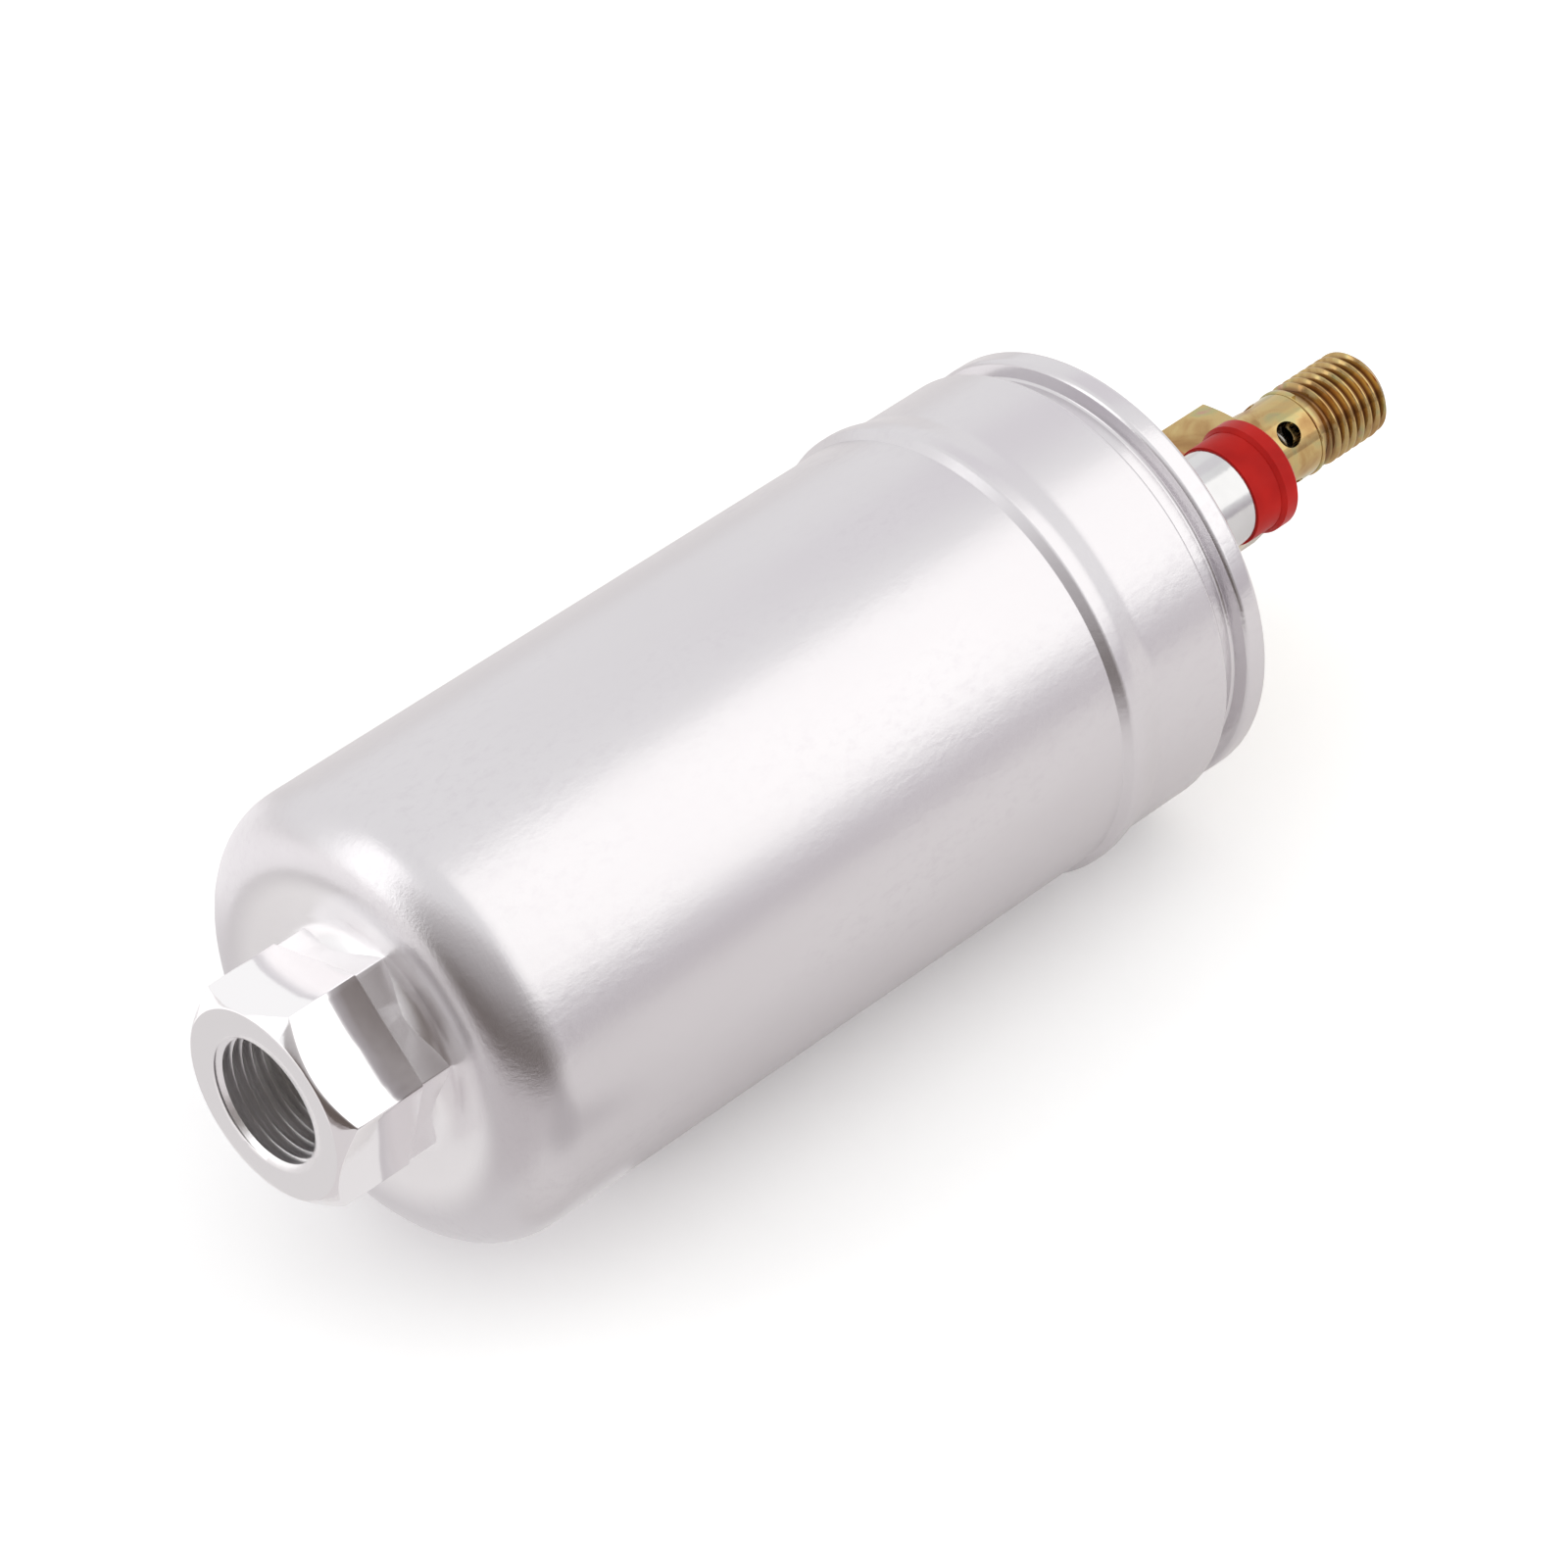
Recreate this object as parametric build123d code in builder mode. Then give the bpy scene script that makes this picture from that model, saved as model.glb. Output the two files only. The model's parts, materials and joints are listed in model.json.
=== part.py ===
from build123d import *
from math import cos, degrees, hypot, pi, radians, sin, sqrt, tan
import os

os.makedirs("parts", exist_ok=True)

# Inline fuel pump, millimetres. Its axis is +X: the inlet is at -X and the outlet at +X.
# The origin is on the axis, in the middle of the plain barrel, where a clamp holds the pump.

# Fits and clearances
static_gap = 0.1            # radial gap of pieces that slide together and stay put
fixed_gap = 0.03            # radial gap of a piece fixed on its seat
running_gap = 0.06          # gap of a turning or sliding fit
loose_gap = 0.3             # gap of pieces that only lie beside each other

# Casing
barrel_radius = 30.0
wall = 1.7
barrel_length = 89.55       # plain barrel, from the end of the shoulder to the bead
shoulder_radius = 7.5
dish_tilt = 16.6            # slope of the shallow dish around the inlet hexagon, degrees
hex_across_flats = 26.0
hex_turn = 42.2             # turn of the inlet hexagon about the axis, degrees
hex_rear_inset = 0.3
hex_front_length = 12.1
hex_rear_length = 5.3
hex_root_radius = 2.6
hex_face_radius = 12.7
hex_chamfer_depth = 2.0
inlet_thread_radius = 9.0   # M18 x 1.5
inlet_thread_depth = 13.5
inlet_mouth = 0.4
inlet_passage_radius = 7.2
front_wall = 2.2
cavity_corner = 4.5
bead_height = 1.0
bead_rise = 1.7             # length of the bead's steep front flank
bead_crown = 1.6
bead_fall = 3.6             # length of its gentle rear flank
bead_front_round = 2.0
bead_rear_round = 5.0
tail_length = 12.05         # plain part between the bead and the crimp
crimp_slope = 1.2
crimp_width = 2.6
crimp_depth = 2.6
crimp_flank = 0.7
crimp_round = 0.5
rim_width = 3.2
rim_radius = 29.6
rim_round = 0.8
lip_thickness = 1.5
lip_reach = 2.8             # how far the rolled lip reaches over the end cover

# Pump stack
stack_ring_radius = 1.2     # section of the sealing ring in front of the stack
stack_ring_circle = 23.1
inlet_plate_thickness = 5.0
inlet_plate_chamfer = 1.5
middle_plate_thickness = 9.0
gear_width = 10.0
outlet_plate_thickness = 7.0
impeller_radius = 18.0
impeller_width = 4.0
vane_count = 24
vane_slot = 2.4
vane_root = 13.8
channel_inner = 14.2
channel_outer = 17.4
channel_depth = 1.6
channel_land = 40.0         # closed part of the side channel between its ports, degrees
inlet_port_angle = 44.0
transfer_port_angle = 30.0
port_inner = 8.7
port_outer = 11.9
port_angle = 110.0
port_recess = 2.0
screw_circle = 22.3
screw_count = 4
screw_radius = 2.0
screw_head_radius = 3.4
screw_head_height = 3.6
screw_socket = 1.6
screw_bite = 3.8            # length of thread in the inlet plate
bush_radius = 6.2
bush_length = 4.6

# Gerotor pair: the ring has one lobe more than the gear inside it
gear_lobes = 6
ring_lobes = gear_lobes + 1
lobe_circle = 14.0
lobe_radius = 4.5
eccentricity = 1.35
mesh_gap = 0.12
gear_ring_radius = 17.0
points_per_lobe = 10        # points of the trochoid curve on each lobe

# Relief valve, in the pump stack beside the gears
relief_circle = 20.3
relief_bore = 2.5
relief_ball_radius = 2.2
relief_port = 1.4
relief_seat_depth = 2.0
relief_wire = 0.35
relief_turns = 5

# Shaft and motor
shaft_radius = 4.0
shaft_flat = 3.3            # distance of the driving flats from the axis
shaft_nose_radius = 3.2
shaft_chamfer = 0.5
flux_wall = 2.0
magnet_overhang = 2.0       # how far the magnets reach past the armature core
magnet_thickness = 2.8
magnet_angle = 140.0
clip_thickness = 0.8
clip_leg = 1.8
clip_margin = 2.0           # gap between a clip and a magnet, degrees
air_gap = 0.6
core_front = 7.0            # from the outlet plate
slot_count = 8
slot_radius = 4.0
slot_circle = 16.4
slot_mouth = 2.2
winding_gap = 0.2
winding_inner = 9.0
winding_outer = 21.4
winding_round = 1.5
front_winding = 5.5
rear_winding = 3.9
commutator_radius = 9.0
commutator_length = 11.4
riser_length = 1.4
riser_radius = 10.4
segment_slit = 0.6
segment_depth = 1.2

# Brush gear
card_thickness = 2.8
card_rim = 2.2
card_depth = 7.9
card_hole = 6.6
card_vent_radius = 3.6
card_vent_circle = 17.5
brush_width = 4.4
brush_length = 9.0
brush_gap = 0.15
tube_wall = 0.6
tube_length = 12.6
tube_stand_off = 1.6        # gap between the commutator and a brush tube
brush_coil_radius = 1.4
brush_wire = 0.3
brush_turns = 4
choke_radius = 2.6
choke_length = 10.0
choke_circle = 17.5

# End cover
skirt_length = 10.9         # from the cover's front edge to the crimp
skirt_wall = 5.0
cover_floor = 5.8
hub_radius = 9.2
hub_rise = 16.0
hub_pocket_depth = 7.0
cover_foot = 0.5            # round at the foot of the hub and the bosses
flute_radius = 1.6
flute_circle = 6.4
flute_count = 3
outlet_passage = 4.5
seal_radius = 1.4           # section of the end cover's sealing ring
seal_groove_width = 3.2
seal_place = 4.6

# Terminals
terminal_circle = 16.9
terminal_angle = 134.6      # of the positive terminal, about the axis from +Y, degrees
positive_boss_radius = 6.5
positive_boss_rise = 11.1
positive_thread_radius = 2.5    # M5
positive_nut_flats = 8.0
sleeve_wall = 1.6
collar_radius = 6.8
collar_rim_radius = 7.4
collar_length = 7.1
collar_step = 4.2
collar_pocket_radius = 5.4
collar_floor = 2.0
collar_chamfer = 0.5
negative_boss_radius = 5.0
negative_boss_rise = 4.0
negative_thread_radius = 2.0    # M4
negative_nut_flats = 7.0
negative_stud_rise = 9.5
stud_head_radius = 4.5
stud_head_height = 1.8
positive_stud_rise = 2.5    # how far the stud stands out of the collar
stud_chamfer = 0.4
nut_height = 3.2
nut_chamfer = 0.7
washer_thickness = 0.8
washer_width = 2.2
inner_washer_radius = 6.0
inner_washer_thickness = 1.0

# Outlet valve
valve_thread_radius = 6.0   # M12 x 1.5
valve_thread_length = 12.0
valve_thread_chamfer = 0.8
valve_collar_width = 0.9
valve_shank_radius = 5.8
valve_shank_length = 10.6
valve_hex_flats = 17.0
valve_hex_length = 10.0
valve_hex_chamfer = 0.8
valve_spigot_length = 11.0
valve_inlet_radius = 2.6
valve_bore_radius = 3.9
valve_end_wall = 3.6
valve_seat_depth = 1.3
cross_hole_radius = 1.8
cross_hole_place = 6.4      # from the hexagon's outer face
cross_hole_turn = 38.8      # turn of the four cross holes about the axis, degrees
seal_washer_thickness = 1.5
seal_washer_radius = 8.9
poppet_radius = 3.5
poppet_head = 3.0
poppet_nose = 0.8
poppet_nose_radius = 1.6
poppet_stem_radius = 1.5
poppet_stem_length = 4.0
check_coil_radius = 2.6
check_wire = 0.4
check_turns = 9

# Inlet strainer
strainer_rim_radius = 8.1
strainer_rim_thickness = 1.0
strainer_radius = 6.9
strainer_wall = 0.6
strainer_depth = 6.0
strainer_windows = 8
strainer_window_width = 2.2
strainer_window_length = 4.0
strainer_hole_radius = 1.0
strainer_hole_circle = 4.0

# Stations along the axis, worked out from the lengths above
dish_slope = tan(radians(dish_tilt))
shoulder_run = shoulder_radius * (1 + sin(radians(dish_tilt))) / cos(radians(dish_tilt))
shoulder_corner = -barrel_length / 2 - shoulder_run
hex_root = hex_across_flats / 2 - hex_rear_inset - static_gap
dish_bottom = shoulder_corner + (barrel_radius - hex_root) * dish_slope
inlet_face = dish_bottom - hex_front_length - hex_rear_length
bead_start = barrel_length / 2
crown_start = bead_start + bead_rise
crown_end = crown_start + bead_crown
bead_end = crown_end + bead_fall
tail_end = bead_end + tail_length
crimp_start = tail_end + crimp_slope
crimp_end = crimp_start + crimp_width
rim_start = crimp_end + crimp_flank
rim_end = rim_start + rim_width
cavity_front = dish_bottom + front_wall
strainer_seat = inlet_face + inlet_thread_depth + strainer_rim_thickness
inlet_plate_front = cavity_front + 2 * stack_ring_radius
middle_plate_front = inlet_plate_front + inlet_plate_thickness
gear_front = middle_plate_front + middle_plate_thickness
outlet_plate_front = gear_front + gear_width
motor_front = outlet_plate_front + outlet_plate_thickness
cover_front = tail_end - skirt_length
motor_rear = cover_front - card_depth
commutator_end = motor_rear - loose_gap
commutator_start = commutator_end - commutator_length
brush_centre = (commutator_start + riser_length + commutator_end) / 2
core_start = motor_front + core_front
core_end = commutator_start - rear_winding - 2 * winding_gap
magnet_start = core_start - magnet_overhang
magnet_length = core_end + magnet_overhang - magnet_start
cover_face = rim_end - lip_thickness
cover_inside = cover_face - cover_floor
hub_face = cover_face + hub_rise
hub_pocket_end = cover_front + hub_pocket_depth
valve_front = hub_face - valve_spigot_length
valve_hex_front = hub_face + seal_washer_thickness
valve_hex_rear = valve_hex_front + valve_hex_length
valve_collar_start = valve_hex_rear + valve_shank_length
valve_thread_start = valve_collar_start + valve_collar_width
valve_end = valve_thread_start + valve_thread_length
valve_seat = valve_hex_front + valve_seat_depth
valve_bore_end = valve_end - valve_end_wall
poppet_face = valve_seat + running_gap
check_spring_front = poppet_face + poppet_head
positive_boss_face = cover_face + positive_boss_rise
collar_end = positive_boss_face + collar_length
negative_boss_face = cover_face + negative_boss_rise

# Radii and places worked out the same way
cavity_radius = barrel_radius - wall
stack_radius = cavity_radius - static_gap
crimp_radius = barrel_radius - crimp_depth
lip_radius = rim_radius - wall - lip_reach
hex_corner_radius = hex_across_flats / 2 / cos(pi / 6)
flux_inner = stack_radius - flux_wall
magnet_outer = flux_inner - fixed_gap
magnet_inner = magnet_outer - magnet_thickness
core_radius = magnet_inner - air_gap
skirt_inner = stack_radius - skirt_wall
channel_middle = 90.0
suction_middle = 270.0
inlet_port_middle = channel_middle - 180 + channel_land / 2 + inlet_port_angle / 2
transfer_port_middle = channel_middle + 180 - channel_land / 2 - transfer_port_angle / 2
relief_ball_place = (
    motor_front - relief_seat_depth - sqrt(relief_ball_radius**2 - relief_port**2) - running_gap
)
terminal_turn = radians(terminal_angle)
positive_place = (terminal_circle * cos(terminal_turn), terminal_circle * sin(terminal_turn))
negative_place = (-positive_place[0], -positive_place[1])
collar_hole_radius = positive_thread_radius + fixed_gap
sleeve_radius = collar_hole_radius + sleeve_wall


def across(x):
    """A sketch plane square to the pump's axis: its own x is +Y and its own y is +Z."""
    return Plane(origin=(x, 0, 0), x_dir=(0, 1, 0), z_dir=(1, 0, 0))


def save(builder, name):
    """Label a finished piece and write it."""
    builder.part.label = name
    export_step(builder.part, f"parts/{name}.step")


def sector(inner, outer, angle, middle):
    """Add a ring sector of a given opening angle about a middle direction to the open sketch."""
    directions = [radians(middle + angle * share) for share in (-0.5, 0, 0.5)]
    outside = [(outer * cos(turn), outer * sin(turn)) for turn in directions]
    inside = [(inner * cos(turn), inner * sin(turn)) for turn in directions]
    with BuildLine() as border:
        ThreePointArc(*outside)
        Line(outside[2], inside[2])
        ThreePointArc(*reversed(inside))
        Line(inside[0], outside[0])
    make_face(border.edges())


def tube(x, length, outer, inner, place=(0, 0)):
    """A plain ring or bush along the axis."""
    with BuildPart() as ring:
        with BuildSketch(across(x)):
            with Locations(place):
                Circle(outer)
                Circle(inner, mode=Mode.SUBTRACT)
        extrude(amount=length)
    return ring


def coil_spring(length, coil_radius, wire, turns, location):
    """A coil spring whose end turns lie inside its length, placed along the location's +Z."""
    rise = length - 2 * wire
    with BuildPart() as coil:
        with BuildLine():
            path = Helix(pitch=rise / turns, height=rise, radius=coil_radius, center=(0, 0, wire))
        with BuildSketch(Plane(origin=path @ 0, z_dir=path % 0)):
            RegularPolygon(wire, 6)
        sweep()
    coil.part.locate(location)
    return coil


def nut(x, flats, thread_radius, place):
    """A hexagon nut on a terminal stud, its corners turned off at both ends."""
    corner_radius = flats / 2 / cos(pi / 6)
    with BuildPart() as hexagon:
        with BuildSketch(Plane(origin=(x, *place), x_dir=(1, 0, 0), z_dir=(0, 0, 1))):
            with BuildLine():
                Polyline(
                    (0, 0),
                    (0, corner_radius - nut_chamfer),
                    (nut_chamfer / 2, corner_radius),
                    (nut_height - nut_chamfer / 2, corner_radius),
                    (nut_height, corner_radius - nut_chamfer),
                    (nut_height, 0),
                    close=True,
                )
            make_face()
        revolve(axis=Axis((x, *place), (1, 0, 0)))
        with BuildSketch(across(x)):
            with Locations(place):
                RegularPolygon(flats / 2, 6, major_radius=False)
                Circle(thread_radius + fixed_gap, mode=Mode.SUBTRACT)
        extrude(amount=nut_height, mode=Mode.INTERSECT)
    return hexagon


# Casing: one aluminium extrusion from the inlet hexagon to the lip rolled over the end cover
with BuildPart() as casing:
    with BuildSketch(across(inlet_face)):
        RegularPolygon(hex_across_flats / 2, 6, major_radius=False, rotation=hex_turn)
    extrude(amount=hex_front_length)
    with BuildSketch(across(inlet_face + hex_front_length)):
        RegularPolygon(hex_across_flats / 2 - hex_rear_inset, 6, major_radius=False, rotation=hex_turn)
    extrude(amount=hex_rear_length)
    # a turned chamfer takes the corners off the inlet face
    with BuildSketch(Plane.XY):
        with BuildLine():
            Polyline(
                (inlet_face, hex_face_radius),
                (inlet_face + 2 * hex_chamfer_depth, 2 * hex_corner_radius - hex_face_radius),
                (inlet_face, 2 * hex_corner_radius - hex_face_radius),
                close=True,
            )
        make_face()
    revolve(axis=Axis.X, mode=Mode.SUBTRACT)
    with BuildSketch(Plane.XY):
        with BuildLine():
            FilletPolyline(
                (dish_bottom - hex_rear_length, 0),
                (dish_bottom - hex_rear_length, hex_root),
                (dish_bottom, hex_root),
                (shoulder_corner, barrel_radius),
                (bead_start, barrel_radius),
                radius=(0, hex_root_radius, shoulder_radius),
            )
            FilletPolyline(
                (bead_start, barrel_radius),
                (crown_start, barrel_radius + bead_height),
                (crown_end, barrel_radius + bead_height),
                (bead_end, barrel_radius),
                (tail_end, barrel_radius),
                (crimp_start, crimp_radius),
                (crimp_end, crimp_radius),
                (rim_start, rim_radius),
                (rim_end, rim_radius),
                (rim_end, 0),
                (dish_bottom - hex_rear_length, 0),
                radius=(
                    bead_front_round,
                    bead_rear_round,
                    bead_rear_round,
                    crimp_round,
                    crimp_round,
                    crimp_round,
                    rim_round,
                    rim_round,
                    0,
                ),
            )
        make_face()
    revolve(axis=Axis.X)
    with BuildSketch(Plane.XY):
        with BuildLine():
            FilletPolyline(
                (cavity_front, 0),
                (cavity_front, cavity_radius),
                (bead_start, cavity_radius),
                radius=(cavity_corner,),
            )
            FilletPolyline(
                (bead_start, cavity_radius),
                (crown_start, cavity_radius + bead_height),
                (crown_end, cavity_radius + bead_height),
                (bead_end, cavity_radius),
                (tail_end, cavity_radius),
                radius=(bead_front_round, bead_rear_round, bead_rear_round),
            )
            Polyline(
                (tail_end, cavity_radius),
                (crimp_start, crimp_radius - wall),
                (crimp_end, crimp_radius - wall),
                (rim_start, rim_radius - wall),
                (rim_end - lip_thickness, rim_radius - wall),
                (rim_end - lip_thickness, lip_radius),
                (rim_end + wall, lip_radius),
                (rim_end + wall, 0),
                (cavity_front, 0),
            )
        make_face()
    revolve(axis=Axis.X, mode=Mode.SUBTRACT)
    with BuildSketch(across(inlet_face)):
        Circle(inlet_thread_radius)
    extrude(amount=inlet_thread_depth, mode=Mode.SUBTRACT)
    with BuildSketch(across(inlet_face)):
        Circle(strainer_rim_radius + static_gap)
    extrude(amount=strainer_seat - inlet_face, mode=Mode.SUBTRACT)
    with BuildSketch(across(inlet_face)):
        Circle(inlet_passage_radius)
    extrude(amount=cavity_front - inlet_face, mode=Mode.SUBTRACT)
    mouth = casing.edges().filter_by(GeomType.CIRCLE).group_by(Axis.X)[0].sort_by(SortBy.RADIUS)[0]
    chamfer(mouth, inlet_mouth)
save(casing, "casing")

# Inlet strainer: a cup whose rim lies on the step behind the inlet thread
with BuildPart() as inlet_strainer:
    with BuildSketch(across(strainer_seat - strainer_rim_thickness)):
        Circle(strainer_rim_radius)
    extrude(amount=strainer_rim_thickness)
    with BuildSketch(across(strainer_seat)):
        Circle(strainer_radius)
    extrude(amount=strainer_depth)
    with BuildSketch(across(strainer_seat - strainer_rim_thickness)):
        Circle(strainer_radius - strainer_wall)
    extrude(amount=strainer_rim_thickness + strainer_depth - strainer_wall, mode=Mode.SUBTRACT)
    with BuildSketch(across(strainer_seat + strainer_wall)):
        with PolarLocations(strainer_radius, strainer_windows):
            Rectangle(4 * strainer_wall, strainer_window_width)
    extrude(amount=strainer_window_length, mode=Mode.SUBTRACT)
    with BuildSketch(across(strainer_seat)):
        with PolarLocations(strainer_hole_circle, strainer_windows):
            Circle(strainer_hole_radius)
    extrude(amount=strainer_depth, mode=Mode.SUBTRACT)
save(inlet_strainer, "inlet_strainer")

# Sealing ring between the casing's front wall and the pump stack
with BuildPart() as stack_ring:
    with BuildSketch(Plane.XY):
        with Locations((inlet_plate_front - stack_ring_radius, stack_ring_circle)):
            Circle(stack_ring_radius)
    revolve(axis=Axis.X)
save(stack_ring, "stack_sealing_ring")

# Inlet plate: cover of the side-channel stage, with its inlet port and the front bush
with BuildPart() as inlet_plate:
    with BuildSketch(across(inlet_plate_front)):
        Circle(stack_radius)
    extrude(amount=inlet_plate_thickness)
    chamfer(inlet_plate.edges().group_by(Axis.X)[0], inlet_plate_chamfer)
    with BuildSketch(across(middle_plate_front - channel_depth)):
        sector(channel_inner, channel_outer, 360 - channel_land, channel_middle)
    extrude(amount=channel_depth, mode=Mode.SUBTRACT)
    with BuildSketch(across(inlet_plate_front)):
        Circle(bush_radius + fixed_gap)
        sector(channel_inner, channel_outer, inlet_port_angle, inlet_port_middle)
        with Locations((-relief_circle, 0)):
            Circle(relief_port)
    extrude(amount=inlet_plate_thickness, mode=Mode.SUBTRACT)
    with BuildSketch(across(middle_plate_front - screw_bite)):
        with PolarLocations(screw_circle, screw_count, start_angle=180 / screw_count):
            Circle(screw_radius + fixed_gap)
    extrude(amount=screw_bite, mode=Mode.SUBTRACT)
save(inlet_plate, "inlet_plate")

# Middle plate: the impeller's pocket in front, the suction port of the gears behind
with BuildPart() as middle_plate:
    with BuildSketch(across(middle_plate_front)):
        Circle(stack_radius)
        with PolarLocations(screw_circle, screw_count, start_angle=180 / screw_count):
            Circle(screw_radius + loose_gap, mode=Mode.SUBTRACT)
        with Locations((-relief_circle, 0)):
            Circle(relief_port, mode=Mode.SUBTRACT)
        Circle(shaft_radius + loose_gap, mode=Mode.SUBTRACT)
    extrude(amount=middle_plate_thickness)
    pocket_depth = impeller_width + 2 * running_gap
    with BuildSketch(across(middle_plate_front)):
        Circle(impeller_radius + static_gap)
    extrude(amount=pocket_depth, mode=Mode.SUBTRACT)
    with BuildSketch(across(middle_plate_front + pocket_depth)):
        sector(channel_inner, channel_outer, 360 - channel_land, channel_middle)
    extrude(amount=channel_depth, mode=Mode.SUBTRACT)
    with BuildSketch(across(middle_plate_front + pocket_depth)):
        sector(channel_inner, channel_outer, transfer_port_angle, transfer_port_middle)
    extrude(amount=middle_plate_thickness - pocket_depth, mode=Mode.SUBTRACT)
    with BuildSketch(across(gear_front - port_recess)):
        sector(port_inner, port_outer, port_angle, suction_middle)
        sector(port_outer - port_recess, channel_outer, transfer_port_angle, transfer_port_middle)
    extrude(amount=port_recess, mode=Mode.SUBTRACT)
save(middle_plate, "middle_plate")

# Eccentric ring: the housing of the gear pair
with BuildPart() as eccentric_ring:
    with BuildSketch(across(gear_front)):
        Circle(stack_radius)
        with Locations((eccentricity, 0)):
            Circle(gear_ring_radius + running_gap, mode=Mode.SUBTRACT)
        with PolarLocations(screw_circle, screw_count, start_angle=180 / screw_count):
            Circle(screw_radius + loose_gap, mode=Mode.SUBTRACT)
        with Locations((-relief_circle, 0)):
            Circle(relief_bore, mode=Mode.SUBTRACT)
    extrude(amount=gear_width)
save(eccentric_ring, "eccentric_ring")

# Outlet plate: the gears' outlet port, the shaft's middle bush and the relief valve's seat
with BuildPart() as outlet_plate:
    with BuildSketch(across(outlet_plate_front)):
        Circle(stack_radius)
        Circle(bush_radius + fixed_gap, mode=Mode.SUBTRACT)
        with Locations((-relief_circle, 0)):
            Circle(relief_port, mode=Mode.SUBTRACT)
        with PolarLocations(screw_circle, screw_count, start_angle=180 / screw_count):
            Circle(screw_radius + loose_gap, mode=Mode.SUBTRACT)
    extrude(amount=outlet_plate_thickness)
    with BuildSketch(across(outlet_plate_front)):
        sector(port_inner, port_outer, port_angle, suction_middle - 180)
    extrude(amount=outlet_plate_thickness, mode=Mode.SUBTRACT)
    with BuildSketch(across(outlet_plate_front)):
        with Locations((-relief_circle, 0)):
            Circle(relief_bore)
    extrude(amount=outlet_plate_thickness - relief_seat_depth, mode=Mode.SUBTRACT)
    with BuildSketch(across(motor_front - screw_head_height - static_gap)):
        with PolarLocations(screw_circle, screw_count, start_angle=180 / screw_count):
            Circle(screw_head_radius + static_gap)
    extrude(amount=screw_head_height + static_gap, mode=Mode.SUBTRACT)
save(outlet_plate, "outlet_plate")

# Four socket screws hold the stack together
with BuildPart() as stack_screws:
    with BuildSketch(across(middle_plate_front - screw_bite + static_gap)):
        with PolarLocations(screw_circle, screw_count, start_angle=180 / screw_count):
            Circle(screw_radius)
    extrude(amount=motor_front - screw_head_height - middle_plate_front + screw_bite - 2 * static_gap)
    with BuildSketch(across(motor_front - screw_head_height - static_gap)):
        with PolarLocations(screw_circle, screw_count, start_angle=180 / screw_count):
            Circle(screw_head_radius)
    extrude(amount=screw_head_height)
    with BuildSketch(across(motor_front - screw_head_height / 2 - static_gap)):
        with PolarLocations(screw_circle, screw_count, start_angle=180 / screw_count):
            RegularPolygon(screw_socket, 6)
    extrude(amount=screw_head_height / 2, mode=Mode.SUBTRACT)
save(stack_screws, "stack_screws")

# Impeller of the side-channel stage, open vanes around a hub that the shaft's flats drive
with BuildPart() as impeller:
    with BuildSketch(across(middle_plate_front + running_gap)):
        Circle(impeller_radius)
        vane_length = impeller_radius - vane_root + loose_gap
        with PolarLocations(vane_root + vane_length / 2, vane_count):
            Rectangle(vane_length, vane_slot, mode=Mode.SUBTRACT)
        with BuildSketch(mode=Mode.SUBTRACT):
            Circle(shaft_radius + fixed_gap)
            Rectangle(2 * (shaft_flat + fixed_gap), 4 * shaft_radius, mode=Mode.INTERSECT)
    extrude(amount=impeller_width)
save(impeller, "impeller")

# Inner gear: the path of a ring lobe's centre, seen from the gear, moved in by the lobe's radius
with BuildPart() as inner_gear:
    flank = []
    for step in range(gear_lobes * points_per_lobe):
        turn = 2 * pi * step / (gear_lobes * points_per_lobe)
        centre = (
            lobe_circle * cos(turn) + eccentricity * cos(ring_lobes * turn),
            lobe_circle * sin(turn) + eccentricity * sin(ring_lobes * turn),
        )
        heading = (
            -lobe_circle * sin(turn) - eccentricity * ring_lobes * sin(ring_lobes * turn),
            lobe_circle * cos(turn) + eccentricity * ring_lobes * cos(ring_lobes * turn),
        )
        inset = (lobe_radius + mesh_gap) / hypot(*heading)
        flank.append((centre[0] - inset * heading[1], centre[1] + inset * heading[0]))
    with BuildSketch(across(gear_front + running_gap)):
        with BuildLine():
            Spline(*flank, periodic=True)
        make_face()
        with BuildSketch(mode=Mode.SUBTRACT):
            Circle(shaft_radius + fixed_gap)
            Rectangle(2 * (shaft_flat + fixed_gap), 4 * shaft_radius, mode=Mode.INTERSECT)
    extrude(amount=gear_width - 2 * running_gap)
save(inner_gear, "inner_gear")

# Outer gear: a ring with round lobes, turning about the eccentric centre
with BuildPart() as outer_gear:
    with BuildSketch(across(gear_front + running_gap)):
        with Locations((eccentricity, 0)):
            Circle(gear_ring_radius)
            Circle(lobe_circle + 2 * eccentricity - lobe_radius + mesh_gap, mode=Mode.SUBTRACT)
            with PolarLocations(lobe_circle, ring_lobes):
                Circle(lobe_radius)
            Circle(gear_ring_radius, mode=Mode.INTERSECT)
    extrude(amount=gear_width - 2 * running_gap)
save(outer_gear, "outer_gear")

# Relief valve: a ball that the spring holds against the port from the motor's chamber
with BuildPart() as relief_ball:
    with Locations((relief_ball_place, -relief_circle, 0)):
        Sphere(relief_ball_radius)
save(relief_ball, "relief_ball")

relief_spring_length = relief_ball_place - relief_ball_radius - gear_front - running_gap
relief_spring = coil_spring(
    relief_spring_length,
    relief_ball_radius - 2 * relief_wire,
    relief_wire,
    relief_turns,
    Location((gear_front, -relief_circle, 0), (0, 90, 0)),
)
save(relief_spring, "relief_spring")

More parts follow.
